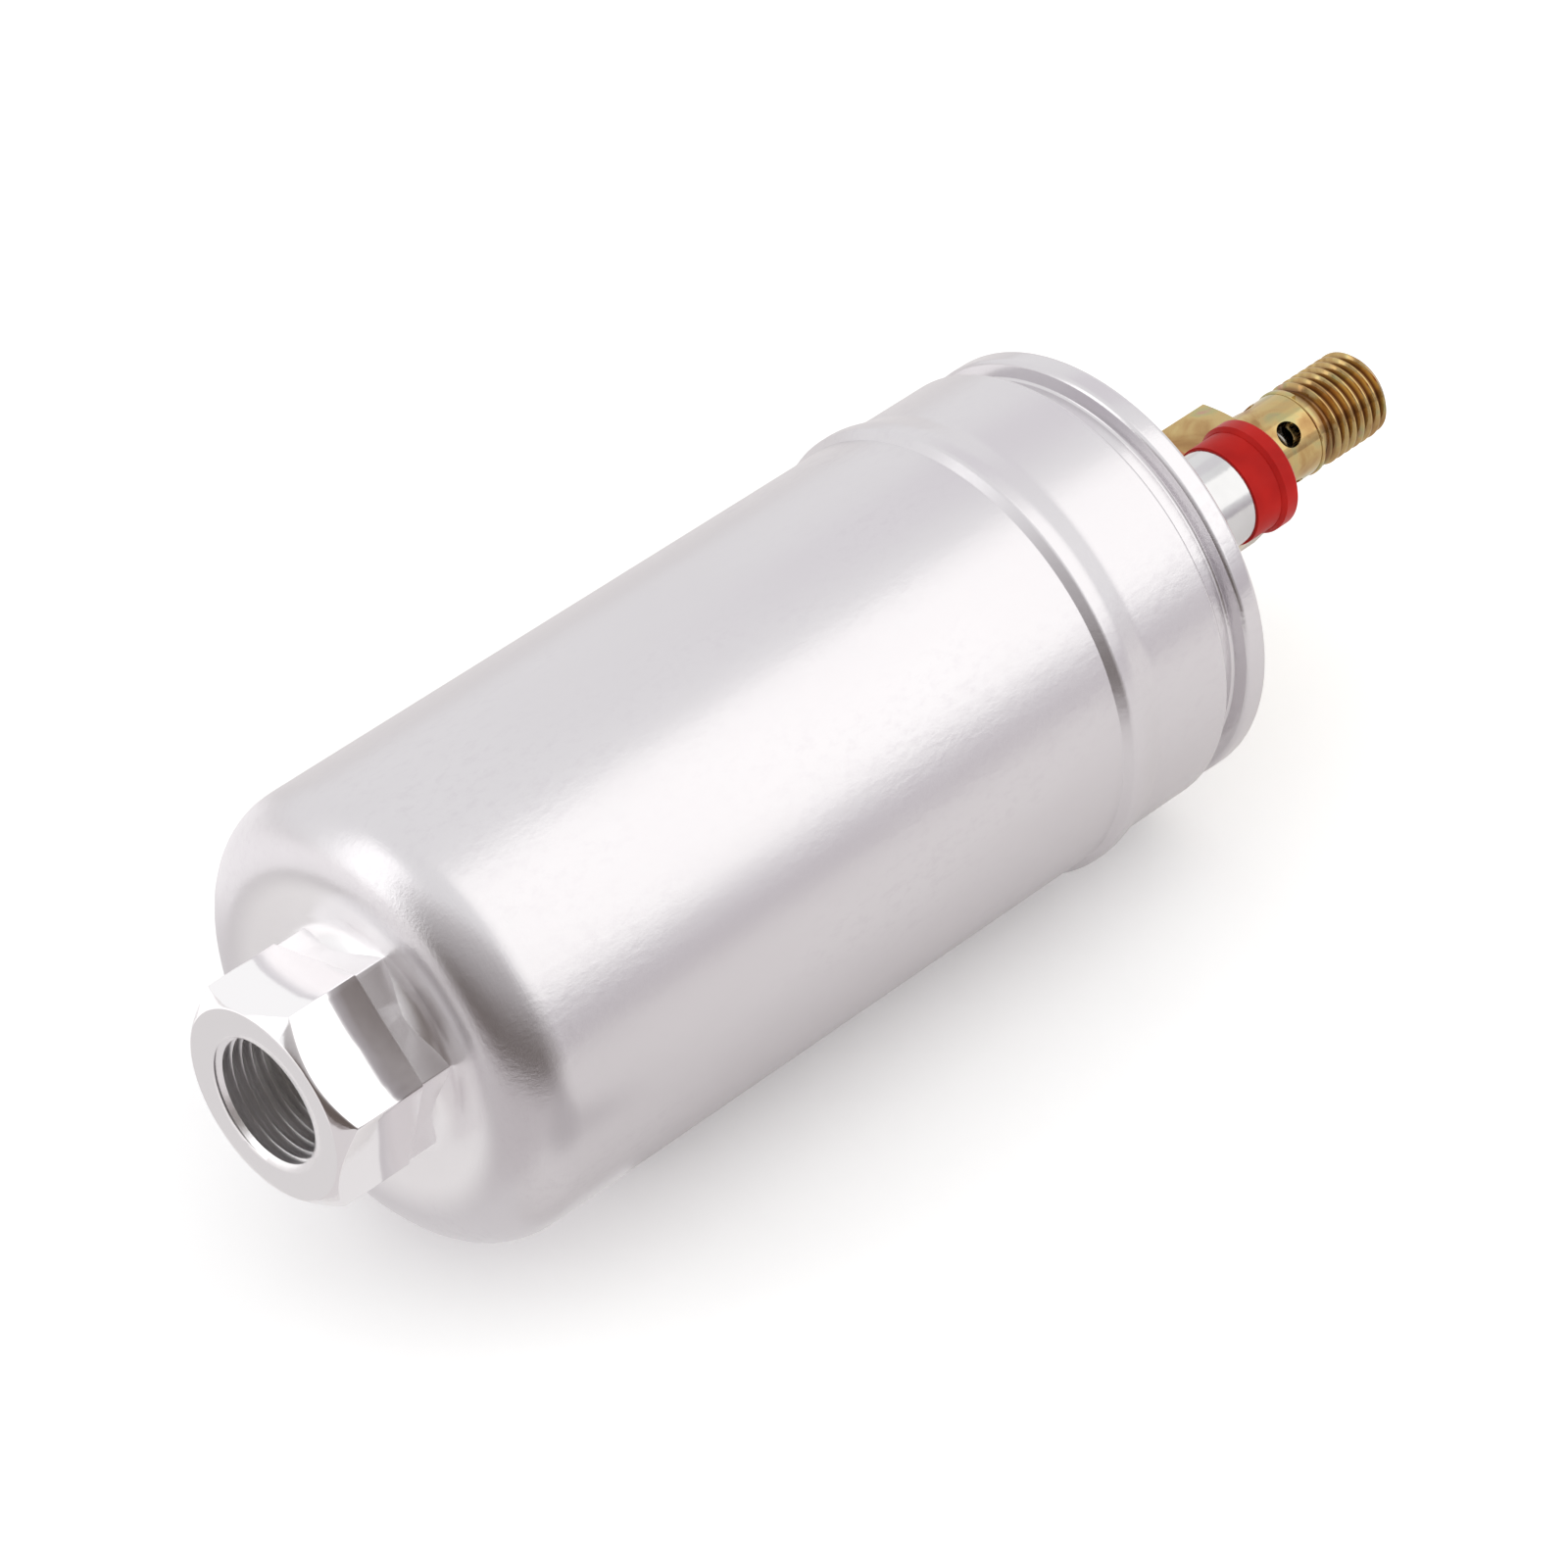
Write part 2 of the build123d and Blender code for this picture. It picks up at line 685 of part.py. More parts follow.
# Three sintered bushes carry the shaft
front_bush = tube(
    middle_plate_front - bush_length, bush_length, bush_radius, shaft_nose_radius + running_gap
)
save(front_bush, "front_bush")
middle_bush = tube(motor_front - bush_length, bush_length, bush_radius, shaft_radius + running_gap)
save(middle_bush, "middle_bush")
rear_bush = tube(cover_front + loose_gap, bush_length, bush_radius, shaft_radius + running_gap)
save(rear_bush, "rear_bush")

# Shaft: a round bar with a thin nose in the front bush and two flats in the pump stage
with BuildPart() as shaft:
    with BuildSketch(across(middle_plate_front)):
        Circle(shaft_radius)
        Rectangle(2 * shaft_flat, 4 * shaft_radius, mode=Mode.INTERSECT)
    extrude(amount=outlet_plate_front - middle_plate_front)
    with BuildSketch(across(outlet_plate_front)):
        Circle(shaft_radius)
    extrude(amount=cover_front + loose_gap + bush_length - outlet_plate_front)
    with BuildSketch(across(middle_plate_front - bush_length)):
        Circle(shaft_nose_radius)
    extrude(amount=bush_length)
    chamfer(shaft.faces().sort_by(Axis.X)[0].edges(), shaft_chamfer)
    chamfer(shaft.faces().sort_by(Axis.X)[-1].edges(), shaft_chamfer)
save(shaft, "shaft")

# Motor: a steel ring closes the field of two magnets, held apart by spring clips
flux_ring = tube(motor_front, motor_rear - motor_front, stack_radius, flux_inner)
save(flux_ring, "flux_ring")

for side, name in ((0, "magnet_rear"), (180, "magnet_front")):
    with BuildPart() as magnet:
        with BuildSketch(across(magnet_start)):
            sector(magnet_inner, magnet_outer, magnet_angle, side)
        extrude(amount=magnet_length)
    save(magnet, name)

for side, name in ((90, "magnet_clip_upper"), (270, "magnet_clip_lower")):
    clip_angle = 180 - magnet_angle - 2 * clip_margin
    leg_angle = degrees(clip_thickness / magnet_outer)
    with BuildPart() as clip:
        with BuildSketch(across(magnet_start)):
            sector(magnet_outer - clip_thickness, magnet_outer, clip_angle, side)
            for edge in (-1, 1):
                leg_middle = side + edge * (clip_angle - leg_angle) / 2
                sector(magnet_outer - clip_thickness - clip_leg, magnet_outer, leg_angle, leg_middle)
        extrude(amount=magnet_length)
    save(clip, name)

# Armature: a slotted iron core, its windings and the commutator, all fixed on the shaft
with BuildPart() as armature_core:
    with BuildSketch(across(core_start)):
        Circle(core_radius)
        Circle(shaft_radius + fixed_gap, mode=Mode.SUBTRACT)
        with PolarLocations(slot_circle, slot_count):
            Circle(slot_radius, mode=Mode.SUBTRACT)
        with PolarLocations((slot_circle + core_radius) / 2, slot_count):
            Rectangle(core_radius - slot_circle + loose_gap, slot_mouth, mode=Mode.SUBTRACT)
    extrude(amount=core_end - core_start)
save(armature_core, "armature_core")

with BuildPart() as armature_windings:
    for start, length in (
        (core_start - winding_gap - front_winding, front_winding),
        (core_end + winding_gap, rear_winding),
    ):
        with BuildSketch(Plane.XY):
            with Locations((start + length / 2, (winding_inner + winding_outer) / 2)):
                RectangleRounded(length, winding_outer - winding_inner, winding_round)
        revolve(axis=Axis.X)
    with BuildSketch(across(core_start - winding_gap - front_winding / 2)):
        with PolarLocations(slot_circle, slot_count):
            Circle(slot_radius - winding_gap)
    extrude(amount=core_end - core_start + 2 * winding_gap + (front_winding + rear_winding) / 2)
save(armature_windings, "armature_windings")

with BuildPart() as commutator:
    with BuildSketch(across(commutator_start)):
        Circle(commutator_radius)
    extrude(amount=commutator_length)
    with BuildSketch(across(commutator_start)):
        Circle(riser_radius)
    extrude(amount=riser_length)
    with BuildSketch(across(commutator_start)):
        Circle(shaft_radius + fixed_gap)
        with PolarLocations(riser_radius, slot_count, start_angle=180 / slot_count):
            Rectangle(2 * (riser_radius - commutator_radius + segment_depth), segment_slit)
    extrude(amount=commutator_length, mode=Mode.SUBTRACT)
save(commutator, "commutator")

# Brush card: a plastic carrier with a seat for each brush tube, its rim against the end cover
tube_outer = brush_width / 2 + brush_gap + tube_wall
tube_bottom = commutator_radius + tube_stand_off
seat_depth = motor_rear - brush_centre - tube_outer
with BuildPart() as brush_card:
    with BuildSketch(across(motor_rear)):
        Circle(stack_radius)
        Circle(card_hole, mode=Mode.SUBTRACT)
        with PolarLocations(card_vent_circle, 4, start_angle=45):
            Circle(card_vent_radius, mode=Mode.SUBTRACT)
    extrude(amount=card_thickness)
    with BuildSketch(across(motor_rear)):
        Circle(stack_radius)
        Circle(stack_radius - card_rim, mode=Mode.SUBTRACT)
    extrude(amount=card_depth)
    with BuildSketch(across(motor_rear)):
        with PolarLocations(tube_bottom + tube_length / 2, 2, start_angle=90):
            Rectangle(tube_length, 2 * tube_outer)
    extrude(amount=-seat_depth)
save(brush_card, "brush_card")

# Two carbon brushes slide in brass tubes; a spring presses each on the commutator
brush_face = commutator_radius + running_gap
spring_length = tube_bottom + tube_length - tube_wall - brush_face - brush_length
for side, where in ((1, "upper"), (-1, "lower")):
    outward = Plane(origin=(brush_centre, 0, 0), x_dir=(1, 0, 0), z_dir=(0, 0, side))
    with BuildPart() as brush:
        with BuildSketch(outward):
            Rectangle(brush_width, brush_width)
        extrude(amount=brush_face + brush_length)
        with BuildSketch(across(brush_centre - brush_width)):
            Circle(brush_face)
        extrude(amount=2 * brush_width, mode=Mode.SUBTRACT)
    save(brush, f"brush_{where}")
    with BuildPart() as brush_tube:
        with BuildSketch(outward.offset(tube_bottom)):
            Rectangle(2 * tube_outer, 2 * tube_outer)
        extrude(amount=tube_length)
        with BuildSketch(outward.offset(tube_bottom)):
            Rectangle(brush_width + 2 * brush_gap, brush_width + 2 * brush_gap)
        extrude(amount=tube_length - tube_wall, mode=Mode.SUBTRACT)
    save(brush_tube, f"brush_tube_{where}")
    brush_spring = coil_spring(
        spring_length,
        brush_coil_radius,
        brush_wire,
        brush_turns,
        outward.offset(brush_face + brush_length).location,
    )
    save(brush_spring, f"brush_spring_{where}")

# Two suppression chokes stand on the brush card, beside the commutator
for side, name in ((1, "choke_rear"), (-1, "choke_front")):
    with BuildPart() as choke:
        with BuildSketch(across(motor_rear)):
            with Locations((side * choke_circle, 0)):
                Circle(choke_radius)
        extrude(amount=-choke_length)
    save(choke, name)

# End cover: closes the casing, carries the rear bush, the outlet hub and the terminals
with BuildPart() as end_cover:
    with BuildSketch(Plane.XY):
        with BuildLine():
            Polyline(
                (cover_front, 0),
                (cover_front, stack_radius),
                (tail_end, stack_radius),
                (crimp_start, crimp_radius - wall - static_gap),
                (crimp_end, crimp_radius - wall - static_gap),
                (rim_start, rim_radius - wall - static_gap),
                (cover_face, rim_radius - wall - static_gap),
                (cover_face, hub_radius),
                (hub_face, hub_radius),
                (hub_face, 0),
                close=True,
            )
        make_face()
    revolve(axis=Axis.X)
    with BuildSketch(across(cover_front)):
        Circle(skirt_inner)
        Circle(hub_radius, mode=Mode.SUBTRACT)
    extrude(amount=cover_inside - cover_front, mode=Mode.SUBTRACT)
    for place, radius, rise in (
        (positive_place, positive_boss_radius, positive_boss_rise),
        (negative_place, negative_boss_radius, negative_boss_rise),
    ):
        with BuildSketch(across(cover_inside)):
            with Locations(place):
                Circle(radius)
        extrude(amount=cover_floor + rise)
    # the hub and the two bosses stand inside the cover's own outline, the largest circle
    outer_circles = end_cover.edges().filter_by(GeomType.CIRCLE).filter_by_position(
        Axis.X, cover_face, cover_face
    )
    fillet(outer_circles.sort_by(SortBy.RADIUS)[:-1], cover_foot)
    with BuildSketch(across(cover_front)):
        Circle(bush_radius + fixed_gap)
        with PolarLocations(flute_circle, flute_count):
            Circle(flute_radius)
    extrude(amount=hub_pocket_depth, mode=Mode.SUBTRACT)
    with BuildSketch(across(hub_pocket_end)):
        Circle(outlet_passage)
    extrude(amount=hub_face - hub_pocket_end, mode=Mode.SUBTRACT)
    with BuildSketch(across(valve_front)):
        Circle(valve_thread_radius + fixed_gap)
    extrude(amount=valve_spigot_length, mode=Mode.SUBTRACT)
    with BuildSketch(across(cover_inside)):
        with Locations(positive_place):
            Circle(sleeve_radius + static_gap)
        with Locations(negative_place):
            Circle(negative_thread_radius + fixed_gap)
    extrude(amount=cover_floor + positive_boss_rise, mode=Mode.SUBTRACT)
    with BuildSketch(across(cover_front + seal_place)):
        Circle(stack_radius + static_gap)
        Circle(stack_radius - 2 * seal_radius, mode=Mode.SUBTRACT)
    extrude(amount=seal_groove_width, mode=Mode.SUBTRACT)
save(end_cover, "end_cover")

with BuildPart() as cover_ring:
    with BuildSketch(Plane.XY):
        with Locations((cover_front + seal_place + seal_groove_width / 2, stack_radius - seal_radius)):
            Circle(seal_radius)
    revolve(axis=Axis.X)
save(cover_ring, "cover_sealing_ring")

# Positive terminal: a stud that an insulating sleeve with a red collar keeps off the end cover
with BuildPart() as collar:
    for start, radius, length in (
        (cover_inside, sleeve_radius, cover_floor + positive_boss_rise),
        (positive_boss_face, collar_radius, collar_length),
        (positive_boss_face + collar_step, collar_rim_radius, collar_length - collar_step),
    ):
        with BuildSketch(across(start)):
            with Locations(positive_place):
                Circle(radius)
        extrude(amount=length)
    rim_edges = collar.edges().filter_by(GeomType.CIRCLE).filter_by(
        lambda edge: abs(edge.radius - collar_rim_radius) < fixed_gap
    )
    chamfer(rim_edges, collar_chamfer)
    with BuildSketch(across(cover_inside)):
        with Locations(positive_place):
            Circle(collar_hole_radius)
    extrude(amount=collar_end - cover_inside, mode=Mode.SUBTRACT)
    with BuildSketch(across(positive_boss_face + collar_floor)):
        with Locations(positive_place):
            Circle(collar_pocket_radius)
    extrude(amount=collar_length - collar_floor, mode=Mode.SUBTRACT)
save(collar, "positive_insulator")

inner_washer = tube(
    cover_inside - inner_washer_thickness,
    inner_washer_thickness,
    inner_washer_radius,
    collar_hole_radius,
    positive_place,
)
save(inner_washer, "inner_insulating_washer")

with BuildPart() as positive_stud:
    with BuildSketch(across(cover_inside - inner_washer_thickness - stud_head_height)):
        with Locations(positive_place):
            Circle(stud_head_radius)
    extrude(amount=stud_head_height)
    with BuildSketch(across(cover_inside - inner_washer_thickness)):
        with Locations(positive_place):
            Circle(positive_thread_radius)
    extrude(amount=collar_end + positive_stud_rise - cover_inside + inner_washer_thickness)
    chamfer(positive_stud.faces().sort_by(Axis.X)[-1].edges(), stud_chamfer)
save(positive_stud, "positive_stud")

positive_washer = tube(
    positive_boss_face + collar_floor,
    washer_thickness,
    positive_thread_radius + washer_width,
    collar_hole_radius,
    positive_place,
)
save(positive_washer, "positive_washer")
positive_nut = nut(
    positive_boss_face + collar_floor + washer_thickness,
    positive_nut_flats,
    positive_thread_radius,
    positive_place,
)
save(positive_nut, "positive_nut")

# Negative terminal: a smaller stud screwed into the end cover itself
with BuildPart() as negative_stud:
    with BuildSketch(across(cover_inside)):
        with Locations(negative_place):
            Circle(negative_thread_radius)
    extrude(amount=cover_floor + negative_boss_rise + negative_stud_rise)
    chamfer(negative_stud.faces().sort_by(Axis.X)[-1].edges(), stud_chamfer)
save(negative_stud, "negative_stud")

negative_washer = tube(
    negative_boss_face,
    washer_thickness,
    negative_thread_radius + washer_width,
    negative_thread_radius + fixed_gap,
    negative_place,
)
save(negative_washer, "negative_washer")
negative_nut = nut(
    negative_boss_face + washer_thickness, negative_nut_flats, negative_thread_radius, negative_place
)
save(negative_nut, "negative_nut")

# Outlet: a check valve body with a hexagon, four cross holes and a closed thread for a cap nut
with BuildPart() as outlet_valve_body:
    with BuildSketch(across(valve_front)):
        Circle(valve_thread_radius)
    extrude(amount=valve_hex_front - valve_front)
    with BuildSketch(across(valve_hex_front)):
        RegularPolygon(valve_hex_flats / 2, 6, major_radius=False)
    extrude(amount=valve_hex_length)
    with BuildSketch(Plane.XY):
        with BuildLine():
            hex_corner = valve_hex_flats / 2 / cos(pi / 6)
            Polyline(
                (valve_hex_rear, valve_hex_flats / 2),
                (valve_hex_rear - 2 * valve_hex_chamfer, 2 * hex_corner - valve_hex_flats / 2),
                (valve_hex_rear, 2 * hex_corner - valve_hex_flats / 2),
                close=True,
            )
        make_face()
    revolve(axis=Axis.X, mode=Mode.SUBTRACT)
    for start, radius, length in (
        (valve_hex_rear, valve_shank_radius, valve_shank_length),
        (valve_collar_start, valve_thread_radius, valve_collar_width + valve_thread_length),
    ):
        with BuildSketch(across(start)):
            Circle(radius)
        extrude(amount=length)
    chamfer(outlet_valve_body.faces().sort_by(Axis.X)[-1].edges(), valve_thread_chamfer)
    with BuildSketch(across(valve_front)):
        Circle(valve_inlet_radius)
    extrude(amount=valve_seat - valve_front, mode=Mode.SUBTRACT)
    with BuildSketch(across(valve_seat)):
        Circle(valve_bore_radius)
    extrude(amount=valve_bore_end - valve_seat, mode=Mode.SUBTRACT)
    for turn in (cross_hole_turn, cross_hole_turn + 90):
        heading = (0, cos(radians(turn)), sin(radians(turn)))
        with BuildSketch(Plane(origin=(valve_hex_rear + cross_hole_place, 0, 0), z_dir=heading)):
            Circle(cross_hole_radius)
        extrude(amount=2 * valve_shank_radius, both=True, mode=Mode.SUBTRACT)
save(outlet_valve_body, "outlet_valve_body")

seal_washer = tube(
    hub_face, seal_washer_thickness, seal_washer_radius, valve_thread_radius + static_gap
)
save(seal_washer, "outlet_sealing_washer")

with BuildPart() as check_poppet:
    with BuildSketch(Plane.XY):
        with BuildLine():
            Polyline(
                (poppet_face - poppet_nose, 0),
                (poppet_face - poppet_nose, poppet_nose_radius),
                (poppet_face, valve_inlet_radius - running_gap),
                (poppet_face, poppet_radius),
                (check_spring_front, poppet_radius),
                (check_spring_front, poppet_stem_radius),
                (check_spring_front + poppet_stem_length, poppet_stem_radius),
                (check_spring_front + poppet_stem_length, 0),
                close=True,
            )
        make_face()
    revolve(axis=Axis.X)
save(check_poppet, "check_poppet")

check_spring = coil_spring(
    valve_bore_end - check_spring_front,
    check_coil_radius,
    check_wire,
    check_turns,
    Location((check_spring_front, 0, 0), (0, 90, 0)),
)
save(check_spring, "check_spring")
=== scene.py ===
import json
from math import cos, pi, radians, sin, tan

import bmesh
import bpy
from mathutils import Matrix, Vector

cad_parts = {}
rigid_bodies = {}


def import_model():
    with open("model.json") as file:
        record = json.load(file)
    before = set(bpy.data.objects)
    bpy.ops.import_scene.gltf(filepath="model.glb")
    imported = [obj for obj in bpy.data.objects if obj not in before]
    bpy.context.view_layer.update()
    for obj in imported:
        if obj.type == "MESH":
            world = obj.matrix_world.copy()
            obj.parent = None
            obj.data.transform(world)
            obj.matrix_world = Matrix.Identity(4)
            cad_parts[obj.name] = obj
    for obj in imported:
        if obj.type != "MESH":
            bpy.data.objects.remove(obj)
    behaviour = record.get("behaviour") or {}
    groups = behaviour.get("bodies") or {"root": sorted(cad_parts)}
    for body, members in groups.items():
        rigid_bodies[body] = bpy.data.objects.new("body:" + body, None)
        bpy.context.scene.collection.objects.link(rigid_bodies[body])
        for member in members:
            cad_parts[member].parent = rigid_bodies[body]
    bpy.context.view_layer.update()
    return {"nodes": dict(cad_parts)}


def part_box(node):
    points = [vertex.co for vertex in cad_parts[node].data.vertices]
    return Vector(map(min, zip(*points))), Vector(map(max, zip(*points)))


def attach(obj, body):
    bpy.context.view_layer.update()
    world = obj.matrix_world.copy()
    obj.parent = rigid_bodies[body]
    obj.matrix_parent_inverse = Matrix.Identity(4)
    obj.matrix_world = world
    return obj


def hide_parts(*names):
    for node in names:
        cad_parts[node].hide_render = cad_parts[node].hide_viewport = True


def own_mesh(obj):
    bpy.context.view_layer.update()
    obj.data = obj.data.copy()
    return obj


for leftover in list(bpy.data.objects):
    bpy.data.objects.remove(leftover)
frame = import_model()

# Camera and studio.
# The photograph looks down on the pump from the inlet side, with a long lens and a level camera.
# The pump lies on a white floor in a white room. A long soft box hangs beside it and a narrow one
# stands past its inlet. Cards and sheets, which only the metal sees, stand and lie round its front.
camera_place = Vector((-0.42423, -0.4457, 0.5517))
camera_heading = Vector((0.52696, 0.53224, -0.66259))
image_width = 1600
focal_pixels = 7032.8
sensor_width = 36
camera_data = bpy.data.cameras.new("photo_camera")
camera_data.sensor_width = sensor_width
camera_data.lens = focal_pixels / image_width * sensor_width
camera_data.clip_start = 0.01
camera = bpy.data.objects.new("photo_camera", camera_data)
camera.location = camera_place
camera.rotation_euler = camera_heading.to_track_quat("-Z", "Y").to_euler()
bpy.context.scene.collection.objects.link(camera)
bpy.context.scene.camera = camera
bpy.context.scene.view_settings.view_transform = "Standard"


class Wire:
    """A socket in a shader tree. Arithmetic on it adds Math nodes, and node() adds any other."""

    def __init__(self, socket):
        self.socket = socket

    def node(self, kind, settings=None, inputs=None, output=0):
        """Add a node: its settings first, then the values or links of its sockets."""
        added = self.socket.id_data.nodes.new(kind)
        for name, setting in (settings or {}).items():
            if name == "stops":
                for _ in range(len(setting) - len(added.color_ramp.elements)):
                    added.color_ramp.elements.new(0.5)
                for element, (place, colour) in zip(added.color_ramp.elements, setting):
                    element.position = place
                    element.color = (*colour, 1)
            else:
                setattr(added, name, setting)
        for name, value in (inputs or {}).items():
            if isinstance(value, Wire):
                added.id_data.links.new(value.socket, added.inputs[name])
            else:
                added.inputs[name].default_value = value
        return Wire(added.outputs[output])

    def math(self, operation, first, second=0.0):
        return self.node("ShaderNodeMath", {"operation": operation}, {0: first, 1: second})

    def __add__(self, other):
        return self.math("ADD", self, other)

    def __sub__(self, other):
        return self.math("SUBTRACT", self, other)

    def __mul__(self, other):
        return self.math("MULTIPLY", self, other)

    def __rsub__(self, other):
        return self.math("SUBTRACT", other, self)

    __radd__ = __add__
    __rmul__ = __mul__

    def above(self, start, end):
        """0 below start, 1 above end, smooth between; start may be the larger of the two."""
        return self.node("ShaderNodeMapRange", {"interpolation_type": "SMOOTHSTEP"},
                         {"Value": self, "From Min": start, "From Max": end})

    def scaled(self, factors):
        """This vector, each axis times its own factor."""
        return self.node("ShaderNodeVectorMath", {"operation": "MULTIPLY"}, {0: self, 1: factors})

    def noise(self, scale, detail=3.0, roughness=0.5, distortion=0.0):
        """Noise on this vector, from 0 to 1."""
        return self.node("ShaderNodeTexNoise", {"noise_dimensions": "3D"},
                         {"Vector": self, "Scale": scale, "Detail": detail, "Roughness": roughness,
                          "Distortion": distortion})

    def length(self):
        return self.node("ShaderNodeVectorMath", {"operation": "LENGTH"}, {0: self}, output=1)

    def axis(self, name):
        return self.node("ShaderNodeSeparateXYZ", None, {0: self}, output="XYZ".index(name))

    def ramp(self, *stops):
        """A colour for each stop of this value, blended between them."""
        return self.node("ShaderNodeValToRGB", {"stops": stops}, {0: self})

    def blend(self, first, second):
        """One colour or the other by this factor. Sockets 6 and 7 of a Mix node are its colours."""
        first, second = ((*c, 1) if isinstance(c, tuple) else c for c in (first, second))
        return self.node("ShaderNodeMix", {"data_type": "RGBA"},
                         {0: self, 6: first, 7: second}, output=2)

    def bump(self, depth):
        """A normal from this height, where 1 stands for a depth in metres."""
        return self.node("ShaderNodeBump", None,
                         {"Strength": 1.0, "Distance": depth, "Height": self})


class Finish:
    """A material: constants go on the shader's own sockets, and what varies is linked to them."""

    def __init__(self, name, **constants):
        self.material = bpy.data.materials.new(name)
        self.material.use_nodes = True
        self.tree = self.material.node_tree
        self.shader = self.tree.nodes["Principled BSDF"]
        self.place = Wire(self.tree.nodes.new("ShaderNodeTexCoord").outputs["Object"])
        for socket, value in constants.items():
            self.shader.inputs[socket.replace("_", " ")].default_value = value

    def vary(self, **wires):
        for socket, wire in wires.items():
            self.tree.links.new(wire.socket, self.shader.inputs[socket.replace("_", " ")])


floor_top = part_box("casing")[0].z
floor_size = 12.0
floor_shape = bmesh.new()
bmesh.ops.create_grid(floor_shape, x_segments=1, y_segments=1, size=floor_size / 2,
                      matrix=Matrix.Translation((0, 0, floor_top)))
floor_mesh = bpy.data.meshes.new("floor")
floor_shape.to_mesh(floor_mesh)
floor_shape.free()
floor = bpy.data.objects.new("floor", floor_mesh)
bpy.context.scene.collection.objects.link(floor)
white_floor = Finish("white_floor", Roughness=0.9, Specular_IOR_Level=0.0)
seen_directly = Wire(white_floor.tree.nodes.new("ShaderNodeLightPath").outputs["Is Camera Ray"])
paper_tone = white_floor.place.noise(3.0).ramp((0, (0.93, 0.905, 0.90)), (1, (0.95, 0.925, 0.92)))
white_floor.vary(Base_Color=seen_directly.blend(paper_tone, (1.25, 1.25, 1.25)))
floor.data.materials.append(white_floor.material)

world = bpy.data.worlds.new("white_room")
world.use_nodes = True
bpy.context.scene.world = world
room = world.node_tree
room_level = 0.86
rays = room.nodes.new("ShaderNodeLightPath")
seen = Wire(rays.outputs["Is Camera Ray"]) + Wire(rays.outputs["Is Glossy Ray"])
seen = (seen + Wire(rays.outputs["Is Transmission Ray"])).above(0.0, 1.0)
room.links.new((seen * (1.0 - room_level) + room_level).socket,
               room.nodes["Background"].inputs["Strength"])
room.nodes["Background"].inputs["Color"].default_value = (1, 1, 1, 1)


def standing(direction, distance, along):
    """The place of a flat thing that faces the pump, with its long side along a given direction."""
    out = Vector(direction).normalized()
    side = Vector(along)
    side = (side - out * side.dot(out)).normalized()
    turned_so = Matrix((side, out.cross(side), out)).transposed().to_4x4()
    return Matrix.Translation(out * distance) @ turned_so


def card(name, place, length, width, *shades):
    """A card of the studio that only the metal sees. Its shades are (height, red, green, blue)."""
    shape = bmesh.new()
    bmesh.ops.create_grid(shape, x_segments=1, y_segments=1, size=0.5,
                          matrix=place @ Matrix.Diagonal((length, width, 1, 1)))
    mesh = bpy.data.meshes.new(name)
    shape.to_mesh(mesh)
    shape.free()
    flat = bpy.data.objects.new(name, mesh)
    bpy.context.scene.collection.objects.link(flat)
    flat.visible_camera = False
    flat.visible_diffuse = False
    flat.visible_shadow = False
    paper = Finish(name, Roughness=1.0, Specular_IOR_Level=0.0, Base_Color=(0, 0, 0, 1),
                   Emission_Strength=1.0)
    paper.vary(Emission_Color=paper.place.axis("Z").ramp(*((z, tone) for z, *tone in shades)))
    flat.data.materials.append(paper.material)


def soft_box(name, place, length, width, level, tint):
    """An area lamp of a given brightness, where the white room is 1."""
    light = bpy.data.lights.new(name, "AREA")
    light.shape = "RECTANGLE"
    light.size = length
    light.size_y = width
    light.energy = pi * length * width * level
    light.color = tint
    lamp = bpy.data.objects.new(name, light)
    lamp.matrix_world = place
    bpy.context.scene.collection.objects.link(lamp)


lens_side = Matrix.Translation((-0.0575, 0.0575, 0.165)) @ standing((-1, -1, 0), 0.22, (1, -1, 0))
card("lens_card", lens_side, 0.47, 0.39, (0.0, 0.13, 0.105, 0.095), (0.05, 0.19, 0.165, 0.155),
     (0.08, 0.33, 0.305, 0.30), (0.11, 0.44, 0.42, 0.42), (0.18, 0.54, 0.52, 0.52),
     (0.26, 0.66, 0.64, 0.64), (0.35, 0.80, 0.78, 0.78))
lens_end = Matrix.Translation((0.17, -0.17, 0.085)) @ standing((-1, -1, 0), 0.22, (1, -1, 0))
card("lens_end_card", lens_end, 0.17, 0.23, (0.0, 0.33, 0.30, 0.29), (0.05, 0.42, 0.395, 0.39),
     (0.10, 0.51, 0.49, 0.49), (0.15, 0.64, 0.62, 0.62), (0.20, 0.80, 0.78, 0.78))
streak_side = Matrix.Translation((0.25, 0, 0)) @ standing((0, -1, 0.17), 0.43, (1, 0, 0))
card("streak_card", streak_side, 1.2, 0.17, (0.0, 0.58, 0.54, 0.57), (0.05, 0.66, 0.62, 0.65),
     (0.10, 0.80, 0.77, 0.79), (0.15, 0.92, 0.91, 0.92))
faint_side = Matrix.Translation((0.36, 0, 0)) @ standing((0, 0.53, 0.85), 0.30, (1, 0, 0))
card("faint_card", faint_side, 0.36, 0.15, (0.0, 0.88, 0.85, 0.885))
sheet_height = floor_top + 0.0005
upper_sheet_height = floor_top + 0.001
card("grey_sheet", Matrix.Translation((-0.205, -0.1525, sheet_height)), 0.27, 0.305,
     (0.0, 0.70, 0.665, 0.67))
card("dark_sheet", Matrix.Translation((-0.255, -0.035, upper_sheet_height)), 0.17, 0.13,
     (0.0, 0.30, 0.265, 0.26))
card("front_sheet", Matrix.Translation((-0.0425, -0.18, sheet_height)), 0.055, 0.24,
     (0.0, 0.60, 0.57, 0.575))
card("pale_sheet", Matrix.Translation((-0.0925, 0.03, sheet_height)), 0.035, 0.06,
     (0.0, 0.72, 0.70, 0.70))
